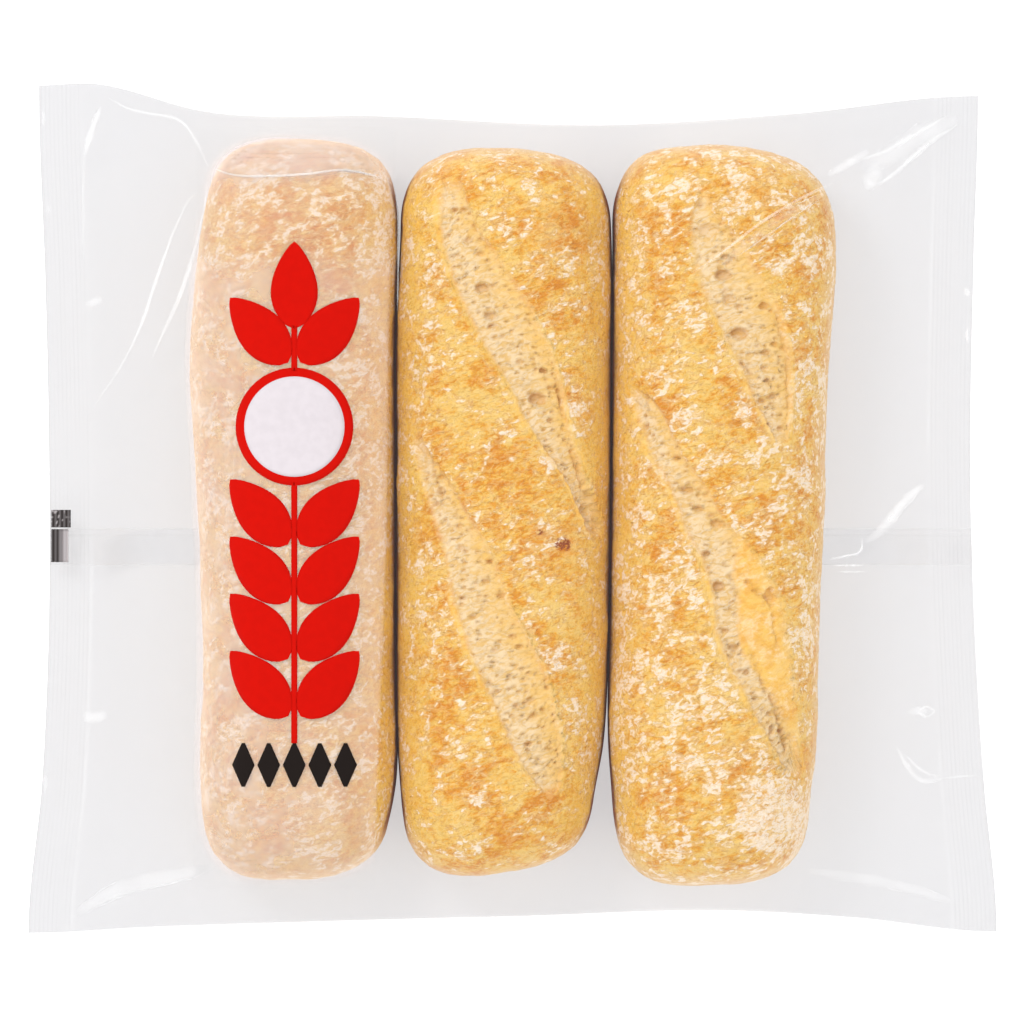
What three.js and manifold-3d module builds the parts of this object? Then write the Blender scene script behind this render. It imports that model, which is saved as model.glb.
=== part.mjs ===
// Three short baguettes in a clear film bag, lying flat as on a table, in millimetres with +Z up.
// The film is one tube: its two ends are crimped shut, its long edges are plain folds and its
// back seam runs across the underside. The bag is shut and drawn close over the bread, so it is
// one solid: a pillow that takes the form of the loaves, two ribbed end seals and the back seam.
import * as THREE from "three";
import { mergeVertices } from "three/addons/utils/BufferGeometryUtils.js";
import Module from "manifold-3d";

// ---- Driving dimensions -------------------------------------------------------------------

// The four edges of the bag seen from above, each a smooth curve through [x, y].
const LEFT_SEAL_EDGE = [[-145.6, -128], [-141.3, -82], [-139.4, -40], [-139.2, 10], [-140.3, 65], [-142.4, 127]];
const RIGHT_SEAL_EDGE = [[145.6, -127.6], [141.6, -82], [138.6, -30], [137.6, 10], [138.6, 75], [140, 123.8]];
const FRONT_FOLD = [[-145.6, -128], [-110, -126], [-60, -124.2], [0, -122.6], [70, -121], [103, -123.1], [145.6, -127.6]];
const BACK_FOLD = [[-142.4, 127], [-127, 127.4], [-92, 118.8], [-40, 117.4], [27, 114.7], [85, 118.2], [140, 123.8]];

// The loaves, from left to right. lean moves the far end sideways, and taper narrows the near end.
// A slash is a lens-shaped opening between two points, bowed sideways, with its widest place at belly.
const LOAVES = [
  { x: -64.6, y: -0.6, halfLength: 110.6, halfWidth: 30, height: 42, lean: -0.4, taper: 0.03, slashes: [] },
  {
    x: -3, y: -1.2, halfLength: 108.3, halfWidth: 31.2, height: 44, lean: 1.4, taper: 0.035,
    slashes: [
      { from: [-21, 97], to: [25.5, -11], width: 16, bow: 0.5, belly: 0.42 },
      { from: [-29.5, 22.5], to: [14.3, -86], width: 17, bow: 1, belly: 0.62 },
    ],
  },
  {
    x: 62.2, y: -2.8, halfLength: 110.4, halfWidth: 32, height: 45, lean: 2.6, taper: 0.05,
    slashes: [
      { from: [55.5, 94], to: [82.5, 16], width: 18, bow: 1.5, belly: 0.48 },
      { from: [34.5, 37], to: [85, -82], width: 19, bow: 5.5, belly: 0.46 },
    ],
  },
];
const WAIST_HEIGHT = 15; // where a loaf is widest, above the table
const SECTION_POWER = 2.7; // how square a loaf's dome is across
const END_POWER = 12; // how blunt a loaf's ends are
const DOME_POWER = 0.46; // how fast the dome falls away at its rim
const SLASH_DEPTH = 3;
const SLASH_LIP = 1; // how far the crust curls up along an opening
const SLASH_LIP_WIDTH = 5;
const SLASH_POINT = 0.8; // how pointed an opening's two ends are

const SEAL_WIDTH = 13; // the crimped strip at each end
const SEAL_RIBS = 10;
const RIB_HEIGHT = 0.45;
const SEAL_HEIGHT = 9; // of the seal's middle above the table
const CORNER_DROP = 4; // how much lower the bag's corners hang
const SEAL_DROOP = 1.6; // from a seal's root to its outer edge
const SEAL_WAVE = 0.8;
const FOLD_HEIGHT = 13; // of the long folds' middle above the table
const SHEET_THICKNESS = 0.8; // two layers of film pressed together, thick enough for a solid
const SEAL_OVERLAP = 0.8; // how far the pillow runs into a seal, so that they join

const SEAM_MIDDLE = -11.8; // the back seam's place along Y
const SEAM_WIDTH = 11;
const SEAM_THICKNESS = 1;
const SEAM_OVERLAP = 0.3; // how far the seam runs into the film above it

const FILM_SAG = 0.011; // how strongly the film sags between the loaves
const UNDER_SAG = 0.02; // how strongly it lies down on the table
const BELOW_TABLE = -1; // where the underside is taken before the table cuts it flat
const DRAPE_SWEEPS = 900;
const DRAPE_HASTE = 1.6;

// The mesh: columns across each margin beside the loaves and across the loaves, rows along them.
const MARGIN_COLUMNS = 6;
const LOAF_COLUMNS = 60;
const PILLOW_ROWS = 42;
const SEAL_ROWS = 9;
const SEAM_COLUMNS = 30;
const LOAF_ZONE = [0.165, 0.838]; // the loaves' share of the bag's width
const ROW_CROWDING = 0.4; // how much closer the rows lie near the folds

// ---- The bag's plan -----------------------------------------------------------------------

const edgeCurve = (points) => new THREE.SplineCurve(points.map(([x, y]) => new THREE.Vector2(x, y)));
const leftEdge = edgeCurve(LEFT_SEAL_EDGE);
const rightEdge = edgeCurve(RIGHT_SEAL_EDGE);
const frontEdge = edgeCurve(FRONT_FOLD);
const backEdge = edgeCurve(BACK_FOLD);

const bagWidth = RIGHT_SEAL_EDGE[0][0] - LEFT_SEAL_EDGE[0][0];
const sealShare = SEAL_WIDTH / bagWidth;
const overlapShare = SEAL_OVERLAP / bagWidth;

// A curve's point at a share of its span along one axis, so that the rows and columns stay even.
function pointAtShare(curve, axis, share) {
  const first = curve.getPoint(0);
  const last = curve.getPoint(1);
  const wanted = THREE.MathUtils.lerp(first[axis], last[axis], share);
  let low = 0;
  let high = 1;
  for (let step = 0; step < 24; step++) {
    const middle = (low + high) / 2;
    if (curve.getPoint(middle)[axis] < wanted) low = middle;
    else high = middle;
  }
  return curve.getPoint((low + high) / 2);
}

// A point of the bag's plan: u runs from the left edge to the right one, v from front to back.
function planPoint(u, v) {
  return {
    x: THREE.MathUtils.lerp(pointAtShare(leftEdge, "y", v).x, pointAtShare(rightEdge, "y", v).x, u),
    y: THREE.MathUtils.lerp(pointAtShare(frontEdge, "x", u).y, pointAtShare(backEdge, "x", u).y, v),
  };
}

// ---- The loaves ---------------------------------------------------------------------------

// How far a point is from a loaf's middle, as the sum that reaches 1 at its outline.
function loafReach(loaf, x, y) {
  const along = (y - loaf.y) / loaf.halfLength;
  const halfWidth = loaf.halfWidth * (1 + loaf.taper * along);
  const across = (x - loaf.x - loaf.lean * along) / halfWidth;
  return Math.abs(across) ** SECTION_POWER + Math.abs(along) ** END_POWER;
}

// The height of the crust over the table, or nothing outside every loaf.
function breadTop(x, y) {
  let top = -Infinity;
  for (const loaf of LOAVES) {
    const reach = loafReach(loaf, x, y);
    if (reach < 1) top = Math.max(top, WAIST_HEIGHT + (loaf.height - WAIST_HEIGHT) * (1 - reach) ** DOME_POWER);
  }
  return top;
}

const onBread = (x, y) => LOAVES.some((loaf) => loafReach(loaf, x, y) < 0.8);

// The relief of one slash: an opening, and a curled lip along its left side.
function slashRelief(slash, x, y) {
  const [x0, y0] = slash.from;
  const [x1, y1] = slash.to;
  const length = Math.hypot(x1 - x0, y1 - y0);
  const [dx, dy] = [(x1 - x0) / length, (y1 - y0) / length];
  const along = ((x - x0) * dx + (y - y0) * dy) / length;
  if (along <= 0 || along >= 1) return 0;
  const aside = (x - x0) * -dy + (y - y0) * dx - slash.bow * Math.sin(Math.PI * along);
  const centred = along ** (Math.log(0.5) / Math.log(slash.belly));
  const opened = Math.sin(Math.PI * centred) ** SLASH_POINT;
  const halfWidth = (slash.width / 2) * opened;
  const inside = Math.max(0, 1 - (aside / (halfWidth + 1)) ** 2);
  const fromLip = (aside + halfWidth + SLASH_LIP_WIDTH / 2) / (SLASH_LIP_WIDTH / 2);
  return opened * (SLASH_LIP * Math.exp(-(fromLip ** 2)) - SLASH_DEPTH * inside ** 2);
}

const slashesAt = (x, y) =>
  LOAVES.flatMap((loaf) => loaf.slashes).reduce((sum, slash) => sum + slashRelief(slash, x, y), 0);

// ---- The film -----------------------------------------------------------------------------

// The height of the bag's rim: its seals and folds hang over the table, lowest at the corners.
function rimHeight(u, v) {
  const acrossSeal = 2 * v - 1;
  const alongFold = 2 * u - 1;
  const corner = SEAL_HEIGHT - CORNER_DROP;
  const seal = corner + CORNER_DROP * (1 - acrossSeal ** 2) + SEAL_WAVE * Math.sin(Math.PI * 2.5 * v);
  const fold = corner + (FOLD_HEIGHT - corner) * (1 - alongFold ** 4);
  const foldShare = Math.abs(acrossSeal) ** 8 * (1 - alongFold ** 8);
  return THREE.MathUtils.lerp(seal, fold, foldShare);
}

// Heights over a grid whose rim is held, relaxed as a stretched sheet is until they settle.
function settle(grid, start, keep) {
  const height = grid.map((column) => column.map(start));
  for (let sweep = 0; sweep < DRAPE_SWEEPS; sweep++) {
    for (let i = 1; i < grid.length - 1; i++) {
      for (let j = 1; j < grid[0].length - 1; j++) {
        const spanX = (grid[i + 1][j].x - grid[i - 1][j].x) / 2;
        const spanY = (grid[i][j + 1].y - grid[i][j - 1].y) / 2;
        const pullX = 1 / spanX ** 2;
        const pullY = 1 / spanY ** 2;
        const level =
          ((height[i - 1][j] + height[i + 1][j]) * pullX + (height[i][j - 1] + height[i][j + 1]) * pullY)
          / (2 * (pullX + pullY));
        const moved = height[i][j] + DRAPE_HASTE * (level - height[i][j]);
        height[i][j] = keep(grid[i][j], moved, 1 / (pullX + pullY));
      }
    }
  }
  return height;
}

// A closed sheet: a box whose faces are split into a grid, with each corner moved to its place.
function shapedSheet(columns, rows, place) {
  const box = new THREE.BoxGeometry(1, 1, 1, columns, rows, 1);
  const corners = box.attributes.position;
  for (let n = 0; n < corners.count; n++) {
    const i = Math.round((corners.getX(n) + 0.5) * columns);
    const j = Math.round((corners.getY(n) + 0.5) * rows);
    const { x, y, z } = place(i, j, corners.getZ(n) > 0);
    corners.setXYZ(n, x, y, z);
  }
  return box;
}

// Column positions: even steps over each margin and over the loaves.
function pillowColumns() {
  const stops = [sealShare - overlapShare, ...LOAF_ZONE, 1 - sealShare + overlapShare];
  const counts = [MARGIN_COLUMNS, LOAF_COLUMNS, MARGIN_COLUMNS];
  const columns = [stops[0]];
  counts.forEach((count, part) => {
    for (let k = 1; k <= count; k++) columns.push(THREE.MathUtils.lerp(stops[part], stops[part + 1], k / count));
  });
  return columns;
}

// The film over and under the bread, as heights over one grid.
function drapedFilm() {
  const rows = Array.from({ length: PILLOW_ROWS + 1 }, (_, j) => {
    const even = j / PILLOW_ROWS;
    return THREE.MathUtils.lerp(even, (1 - Math.cos(Math.PI * even)) / 2, ROW_CROWDING);
  });
  const grid = pillowColumns().map((u) => rows.map((v) => ({ u, v, ...planPoint(u, v) })));
  const rim = ({ u, v }) => rimHeight(u, v);
  const over = settle(grid, rim, (at, level, room) => {
    const sag = Math.abs(at.x) < LOAVES[2].x + LOAVES[2].halfWidth ? FILM_SAG : 0;
    return Math.max(breadTop(at.x, at.y), level - sag * room);
  });
  const under = settle(grid, rim, (at, level, room) =>
    onBread(at.x, at.y) ? BELOW_TABLE : Math.max(BELOW_TABLE, level - UNDER_SAG * room));
  return { grid, over, under };
}

function pillow({ grid, over, under }) {
  const half = SHEET_THICKNESS / 2;
  return shapedSheet(grid.length - 1, PILLOW_ROWS, (i, j, above) => {
    const { x, y } = grid[i][j];
    return { x, y, z: above ? over[i][j] + slashesAt(x, y) + half : under[i][j] - half };
  });
}

// One crimped end: both faces follow the same ribs, which run along the seal.
function endSeal(side) {
  const columns = SEAL_RIBS * 2;
  return shapedSheet(columns, SEAL_ROWS, (i, j, above) => {
    const outward = side < 0 ? 1 - i / columns : i / columns;
    const u = side < 0 ? (i / columns) * sealShare : 1 - sealShare + (i / columns) * sealShare;
    const v = j / SEAL_ROWS;
    const { x, y } = planPoint(u, v);
    const rib = (i % 2 ? RIB_HEIGHT : -RIB_HEIGHT) / 2;
    const half = (above ? SHEET_THICKNESS : -SHEET_THICKNESS) / 2;
    return { x, y, z: rimHeight(u, v) - SEAL_DROOP * outward + rib + half };
  });
}

// The height of the bag's underside, between the grid's columns and rows.
function undersideHeight({ grid, under }, u, v) {
  const cell = (list, value) => Math.max(1, Math.min(list.length - 1, list.findIndex((at) => at > value)));
  const columns = grid.map((column) => column[0].u);
  const rows = grid[0].map((point) => point.v);
  const i = cell(columns, u);
  const j = cell(rows, v);
  const across = THREE.MathUtils.clamp((u - columns[i - 1]) / (columns[i] - columns[i - 1]), 0, 1);
  const along = THREE.MathUtils.clamp((v - rows[j - 1]) / (rows[j] - rows[j - 1]), 0, 1);
  const near = THREE.MathUtils.lerp(under[i - 1][j - 1], under[i][j - 1], across);
  const far = THREE.MathUtils.lerp(under[i - 1][j], under[i][j], across);
  return THREE.MathUtils.lerp(near, far, along) - SHEET_THICKNESS / 2;
}

// The back seam: a flat strip of film folded against the underside, into both seals.
function backSeam(film) {
  return shapedSheet(SEAM_COLUMNS, 1, (i, j, above) => {
    const u = THREE.MathUtils.lerp(sealShare / 2, 1 - sealShare / 2, i / SEAM_COLUMNS);
    const y = SEAM_MIDDLE + (j - 0.5) * SEAM_WIDTH;
    const [front, back] = [planPoint(u, 0).y, planPoint(u, 1).y];
    const v = (y - front) / (back - front);
    const inSeal = Math.max(0, sealShare - Math.min(u, 1 - u)) / sealShare;
    const top = undersideHeight(film, u, v) - SEAL_DROOP * inSeal + SEAM_OVERLAP;
    return { x: planPoint(u, v).x, y, z: above ? top : top - SEAM_THICKNESS };
  });
}

// Everything under the table's surface, which makes the bag's flat base.
function underTable() {
  const depth = 20;
  return new THREE.BoxGeometry(2 * bagWidth, 2 * bagWidth, depth).translate(0, 0, -depth / 2);
}

// ---- Joining ------------------------------------------------------------------------------

const wasm = await Module();
wasm.setup();

function solidFrom(geometry) {
  const bare = geometry.clone();
  bare.deleteAttribute("normal");
  bare.deleteAttribute("uv");
  const merged = mergeVertices(bare, 1e-3);
  return new wasm.Manifold(new wasm.Mesh({
    numProp: 3,
    vertProperties: merged.attributes.position.array,
    triVerts: new Uint32Array(merged.index.array),
  }));
}

function geometryFrom(solid) {
  const { vertProperties, triVerts } = solid.getMesh();
  const geometry = new THREE.BufferGeometry();
  geometry.setAttribute("position", new THREE.BufferAttribute(vertProperties, 3));
  geometry.setIndex(new THREE.BufferAttribute(triVerts, 1));
  geometry.computeVertexNormals();
  return geometry;
}

const film = drapedFilm();
const joined = [endSeal(-1), endSeal(1), backSeam(film)]
  .reduce((solid, geometry) => solid.add(solidFrom(geometry)), solidFrom(pillow(film)))
  .subtract(solidFrom(underTable()));

// ---- The part -----------------------------------------------------------------------------

const clearFilm = new THREE.MeshStandardMaterial({ color: 0xe9e2d6, roughness: 0.25, metalness: 0 });
const bag = new THREE.Mesh(geometryFrom(joined), clearFilm);
bag.name = "bag";

// The origin is the middle of the base.
bag.geometry.computeBoundingBox();
const middle = bag.geometry.boundingBox.getCenter(new THREE.Vector3());
bag.position.set(-middle.x, -middle.y, -bag.geometry.boundingBox.min.z);

const part = new THREE.Group();
part.add(bag);

export default part;
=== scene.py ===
"""A clear film bag of three short baguettes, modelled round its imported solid.

The file is laid out as an add-on: each operator makes a piece or a group of like pieces, and the
panel lists them. Run as a script it makes them all, in metres, with +Z up and the shown side up.
"""
import math

import bmesh
import bpy
import numpy as np
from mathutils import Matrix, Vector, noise


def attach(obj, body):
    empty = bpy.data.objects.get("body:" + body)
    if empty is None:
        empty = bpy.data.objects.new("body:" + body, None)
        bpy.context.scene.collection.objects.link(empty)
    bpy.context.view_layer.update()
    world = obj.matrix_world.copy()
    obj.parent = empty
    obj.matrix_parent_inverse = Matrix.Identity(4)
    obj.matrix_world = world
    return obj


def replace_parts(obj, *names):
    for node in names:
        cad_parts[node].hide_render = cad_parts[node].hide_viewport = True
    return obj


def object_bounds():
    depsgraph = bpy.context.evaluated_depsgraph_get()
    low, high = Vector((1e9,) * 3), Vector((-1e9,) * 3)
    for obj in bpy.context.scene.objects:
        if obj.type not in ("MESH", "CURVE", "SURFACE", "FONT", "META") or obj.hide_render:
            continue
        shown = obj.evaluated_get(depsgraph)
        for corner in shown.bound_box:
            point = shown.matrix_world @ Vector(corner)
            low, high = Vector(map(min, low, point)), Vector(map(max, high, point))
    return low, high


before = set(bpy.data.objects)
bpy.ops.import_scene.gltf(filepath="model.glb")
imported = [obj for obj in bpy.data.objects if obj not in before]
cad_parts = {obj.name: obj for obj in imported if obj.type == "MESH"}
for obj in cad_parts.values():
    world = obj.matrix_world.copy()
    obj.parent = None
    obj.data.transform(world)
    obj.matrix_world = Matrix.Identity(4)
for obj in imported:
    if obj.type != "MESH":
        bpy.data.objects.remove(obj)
CAD_BOX = [list(corner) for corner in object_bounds()]
BODY = "root"
SOLID = "bag"

bl_info = {
    "name": "Bag of Baguettes",
    "version": (1, 0, 0),
    "blender": (4, 5, 0),
    "location": "3D View > Sidebar > Bag",
    "description": "Makes a clear film bag with three short baguettes",
    "category": "Object",
}

MM = 0.001

# ---- Measures, in millimetres from the middle of the bag's base --------------------------------

# The bag's four edges seen from above, each a smooth curve through (x, y).
LEFT_EDGE = ((-145.6, -128), (-141.3, -82), (-139.4, -40), (-139.2, 10), (-140.3, 65), (-142.4, 127))
RIGHT_EDGE = ((145.6, -127.6), (141.6, -82), (138.6, -30), (137.6, 10), (138.6, 75), (140, 123.8))
FRONT_FOLD = (
    (-145.6, -128), (-110, -126), (-60, -124.2), (0, -122.6), (70, -121), (103, -123.1), (145.6, -127.6),
)
BACK_FOLD = (
    (-142.4, 127), (-127, 127.4), (-92, 118.8), (-40, 117.4), (27, 114.7), (85, 118.2), (140, 123.8),
)

# Each loaf has its height, its two ends, how far each end slants to the right, its sides as (y, left
# x, right x), how floury it is, and its toasted patches as (x, y, half width, half length, strength).
# A slash has where its left and right lips begin, its open crumb's stations as (y, left x, right x)
# from its far tip to its near one, its slits as (points, width, strength), its holes as (x, y, half
# width, half length, depth), and where skin has closed over it, as (y, x).
LOAVES = (
    dict(
        name="loaf_left", height=42, ends=(-111.5, 110.3), slants=(1.5, -1.0), seed=3,
        sides=((-97, -93.5, -35.6), (-79, -93.8, -34.4), (-52, -93, -34.85), (17, -95, -34.85),
               (47, -96.4, -35), (70, -94.8, -34.15), (80, -93.9, -33.75), (92, -92.6, -33.3)),
        slashes=(),
        floury=0.8,
        toasted=((-60, 84, 27, 20, 1.0), (-50, 15, 17, 85, 0.7), (-66, -70, 22, 36, 0.5)),
    ),
    dict(
        name="loaf_middle", height=44, ends=(-109.6, 107.4), slants=(3.5, -1.0), seed=11,
        sides=((-88, -33.9, 25.2), (-70, -34.6, 27.4), (-28, -34.95, 29.1), (17, -34.95, 29.65),
               (47, -35.1, 29.8), (62, -34.7, 29.95), (70, -34.25, 30), (80, -34, 30.1), (92, -34.6, 30.6)),
        slashes=(
            dict(lips=(99, 60),
                 stations=((98, -21, -15), (85, -21.5, -11), (73, -19, -3.6), (62, -15, 3.4),
                           (49, -8.5, 10.4), (37, -1, 14.3), (26, 4, 16), (8, 16, 21.8),
                           (-6, 22, 26.2), (-11.5, 25, 26)),
                 slits=((((13.4, 36.2), (14.9, 31.1), (15.5, 27.8)), 0.6, 1.1),
                        (((17, 19), (19.5, 12), (22.5, 4)), 0.55, 0.6)),
                 holes=((-9.2, 65.2, 2.4, 1.6, 1.8), (-6.6, 57, 2.0, 1.4, 1.3), (7.6, 32.2, 2.9, 1.9, 2.2),
                        (9.4, 40.6, 1.3, 1.0, 2.0), (7.6, 56, 1.2, 0.9, 1.4), (11.5, 26, 1.0, 0.7, 1.2),
                        (21.5, -1, 1.2, 1.6, 1.8))),
            dict(lips=(-24, -26),
                 stations=((23, -29.5, -27), (5, -26, -17.5), (-13, -20.5, -7), (-30, -16.8, -0.2),
                           (-47, -10.7, 8.8), (-59, -5.3, 12.3), (-74, 1.6, 14.5),
                           (-83, 7.6, 13.8), (-86, 10.5, 12.5)),
                 slits=((((-27.2, 19.5), (-24.5, 12), (-21.5, 3)), 0.5, 0.4),),
                 holes=((-22, 9, 1.2, 0.8, 1.0), (-15.5, -12, 1.4, 0.8, 1.0), (-8, -22, 1.5, 0.8, 1.0),
                        (-1, -50, 1.0, 0.7, 1.0), (4.5, -72, 0.8, 0.6, 1.2), (9, -60, 0.9, 0.6, 1.0))),
        ),
        floury=0.55,
        toasted=((18, 82, 16, 14, 0.9), (14.9, -11, 3, 2.6, 2.6), (7.9, -7.4, 2, 1.5, 1.7),
                 (12, -9, 12, 8, 0.7)),
    ),
    dict(
        name="loaf_right", height=45, ends=(-113.3, 108.2), slants=(1.0, -2.6), seed=29,
        sides=((-88, 29.4, 89.6), (-70, 28.6, 90.8), (-28, 29, 92.5), (17, 29.55, 93.4),
               (40, 29.65, 94.2), (62, 29.8, 96.2), (70, 29.85, 96.5), (80, 29.6, 96.9), (92, 28.9, 97.4)),
        slashes=(
            dict(lips=(60, 60),
                 stations=((95, 55, 57.5), (86, 53.3, 61), (79, 53.8, 67.7), (71, 54.5, 72),
                           (57, 60.2, 79.4), (45, 66.2, 82.3), (31, 72.6, 83), (20, 78.5, 81.8),
                           (17, 80, 81)),
                 slits=((((67.4, 44.2), (70.4, 39.4)), 0.5, 0.7),
                        (((78.6, 58), (82, 44), (82.6, 30)), 0.5, 0.5)),
                 holes=((58, 82.3, 3.2, 2.4, 0.7), (62.5, 69, 2.6, 1.8, 1.9), (64.5, 61.5, 2.2, 1.9, 1.0),
                        (67.3, 51.7, 3.0, 1.7, 2.0), (74.8, 59.8, 1.6, 1.2, 1.5), (75.5, 46, 1.6, 1.0, 1.2),
                        (63, 74.5, 1.2, 0.8, 1.4), (78, 33, 1.3, 1.0, 1.2))),
            dict(lips=(20, -10),
                 stations=((37, 34.6, 36), (31, 35.9, 42), (15, 41.9, 50.6), (4, 47.7, 58.5),
                           (-3.5, 50.3, 62.6), (-10, 53.3, 68.9), (-14, 56, 71.9),
                           (-20, 58.1, 75.5), (-26, 59.3, 78.5), (-40, 61.7, 81.3),
                           (-54, 68.3, 83.6), (-66, 74.6, 83.8), (-76, 80.3, 85.6),
                           (-83, 85.4, 86.2)),
                 skin=((0, 62), (-10, 67), (-20, 65.5), (-27, 67), (-40, 67.5), (-54, 75.8), (-66, 82.4),
                       (-76, 85.4)),
                 slits=((((68.3, -20.6), (71.9, -24.2), (74.6, -26.6), (77.3, -29)), 0.75, 1.3),
                        (((77.6, -31.7), (78, -36), (79, -41)), 0.55, 0.7),
                        (((69.2, -42), (72, -45.3), (74.6, -53), (78, -58.4), (80, -64), (82, -73)),
                         0.55, 0.8)),
                 holes=((51.6, 5.2, 2.3, 1.3, 1.5), (55, -0.3, 2.0, 0.9, 1.3), (60.7, -4.7, 2.2, 1.2, 1.4),
                        (57.5, -13.7, 1.3, 1.0, 1.6), (61, -23.5, 2.0, 1.7, 2.0), (77, -26, 2.0, 2.4, 2.0),
                        (65.5, -41.5, 1.8, 0.9, 1.6), (69.7, -49, 1.1, 0.8, 1.4),
                        (77.5, -66, 0.9, 1.4, 1.6))),
        ),
        floury=0.75,
        toasted=((84, 45, 6, 7, 1.2), (66, -78, 10, 12, 0.9), (70, 92, 18, 10, 0.6)),
    ),
)
# Patches of flour, as (x, y, half width, half length, strength).
FLOUR_PATCHES = {"loaf_right": (79, -92, 17, 17, 0.9), "loaf_middle": (-8, 85, 10, 9, 0.5)}

WAIST = 15  # a loaf's widest height
SECTION_POWER = 2.7  # how square a loaf is across
END_POWER = 12  # how blunt its ends are
DOME_POWER = 2.17  # how full its top is
BASE_POWER = 5  # how flat its underside is
LOAF_LATTICE = (62, 206, 13, -0.7)  # its mesh's columns, rows and layers, and what it is finer above
BUBBLES = ((0.75, 0.6, 0.35), (1.5, 0.5, 0.8), (2.6, 0.7, 1.0))  # the crumb's: size, share left out, depth

# Heights between which a loaf's side changes: where it touches the next and is painted dark as the shade in
# the gap, where it is paler because it faces the next, partly as painted light lifting its shade, and where
# an outer side is floury.
PRESSED_AND_SHADED = (24.5, 21.5)
FACING_SIDE = (41, 28)
FLOURY_SIDE = (34, 20)

# Creases of the film: points along each, then its half width, height and strength of white, which is partly
# the film's own stress whitening and partly painted glint, the broad faint ones painted sheen.
CREASES = (
    (((-91, 102), (-84, 99.3), (-72, 98.6), (-61, 99.2), (-50, 100.4), (-42, 99), (-35.6, 96.4)),
     0.45, 0.3, 0.7),
    (((-35.6, 96.4), (-34.4, 90), (-34, 76), (-34.2, 58)), 0.3, 0.2, 0.7),
    (((-91, 102), (-94, 108.4), (-99.5, 115.8), (-110, 118.4), (-116, 120), (-121.5, 123.2)),
     0.45, 0.3, 0.45),
    (((-123.6, 120.5), (-127, 111.5), (-128.6, 105.5)), 1.1, 0.4, 0.45),
    (((-128.4, 108), (-129, 96), (-129, 84), (-128.8, 70)), 0.4, 0.2, 0.12),
    (((-92.8, 94.6), (-95.5, 93), (-99.8, 85.6), (-104, 75), (-107.5, 65), (-111, 55), (-117, 43),
      (-126, 30)), 0.55, 0.35, 0.45),
    (((-91.2, 97.5), (-91.5, 92), (-94, 80), (-96.4, 72), (-100, 62), (-104.5, 52), (-108, 44)),
     0.5, 0.35, 0.5),
    (((-91.8, 90), (-95, 75), (-99, 63), (-104, 52)), 0.35, 0.2, 0.45),
    (((94, 99), (98, 101.5), (103, 104.5), (107, 107)), 1.3, 0.3, 0.4),
    (((103.5, 103.8), (112, 107), (119, 111), (126, 115), (131, 118)), 0.7, 0.35, 0.6),
    (((108, 96), (113, 99), (120, 105), (127, 111), (134, 115)), 0.8, 0.35, 0.6),
    (((104, 101), (112, 105), (122, 111.5), (134, 117)), 3.2, 0.2, 0.28),
    (((106, 95), (107.5, 98.5), (110, 103)), 2.6, 0.2, 0.4),
    (((96, 97), (84, 91), (73, 84), (64, 77), (57, 72), (52, 69)), 0.55, 0.3, 0.5),
    (((92, 93), (80, 86), (68, 77), (62, 72)), 1.6, 0.2, 0.16),
    (((86, 88), (76, 81), (66, 74)), 0.4, 0.2, 0.4),
    (((124, 7), (121, 5), (116, 0), (110, -7), (105.5, -10.5)), 1.6, 0.4, 0.55),
    (((94.5, -15.5), (99, -14.6), (104, -13), (104.5, -8.5)), 0.45, 0.3, 0.6),
    (((96, -17.3), (105, -17.3)), 0.35, 0.2, 0.6),
    (((97, -19.2), (106, -19.2)), 0.3, 0.2, 0.5),
    (((-129, -62.8), (-125.5, -63), (-121.5, -61.8)), 1.8, 0.4, 0.35),
    (((-128.5, 61), (-126, 61.6), (-123, 62.6)), 1.2, 0.3, 0.3),
    (((121.3, -61.2), (124.2, -59.8), (127, -61.2)), 0.4, 0.3, 0.5),
    (((121.3, -61.2), (124.2, -62.8), (127, -61.2)), 0.4, 0.3, 0.5),
    (((118.5, -61.4), (121, -61), (124.5, -61.4)), 1.4, 0.2, 0.25),
    (((115, -71.5), (118.5, -78), (123, -82), (129, -81.4)), 0.8, 0.3, 0.4),
    (((117.5, -74), (123, -79), (129, -81.4)), 0.5, 0.3, 0.35),
    (((129, -81.4), (136, -80.7), (140, -80.6)), 0.3, 0.2, 0.25),
    (((-131, -122.5), (-124, -117.5), (-112, -112.5), (-100, -110), (-90, -107.5)), 2.4, 0.4, 0.25),
    (((-128, -121), (-120, -117), (-110, -114), (-96, -111)), 0.6, 0.3, 0.3),
    (((88, -108.4), (104, -111), (118, -114), (132, -118.5)), 1.6, 0.3, 0.2),
    (((136, 66), (136.6, 64.8), (136.8, 63.4)), 0.9, 0.3, 0.5),
    (((137, 54), (136.6, 52), (136.8, 49.5)), 0.6, 0.3, 0.5),
    (((-141.2, 119), (-140.9, 117.5), (-140.8, 115)), 0.6, 0.3, 0.22),
    (((-139.8, 90.5), (-139.4, 89.8), (-139.4, 88.8)), 0.7, 0.3, 0.25),
    (((-140.4, -80), (-140.2, -82.4), (-140.6, -85.5)), 0.6, 0.3, 0.25),
)

CREASE_LATTICE = (6, 60)
# The creases' white: partly stress whitening, partly painted glints and sheens.
CREASE_WHITENING_AND_GLINT = 0.6  # of the strongest crease

SEAM_MIDDLE = -11.8
SEAM_WIDTH = 11
SEAM_ROWS = 28
SEAM_BELOW = 0.3  # how far it lies under the film

FILM_HALF = 0.12  # half the thickness of the film's mesh
FILM_BOTTOM = 0.45  # how high the film's underside lies on the table

# The blocks of the mark on the left seal, as left, right, near and far.
SEAL_MARK = ((-138.6, -132.7, -6.0, -0.7), (-138.6, -133.4, -16.4, -6.5))
MARK_LATTICE = (40, 12)
RIB_PITCH = 1.3  # between the ribs that show in it

# How far above the film the inks begin and end.
MILK_LEVELS = (0.03, 0.06)
MARK_LEVELS = (0.04, 0.08)
INK_LEVELS = (0.08, 0.12)
DISC_LEVELS = (0.14, 0.18)

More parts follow.
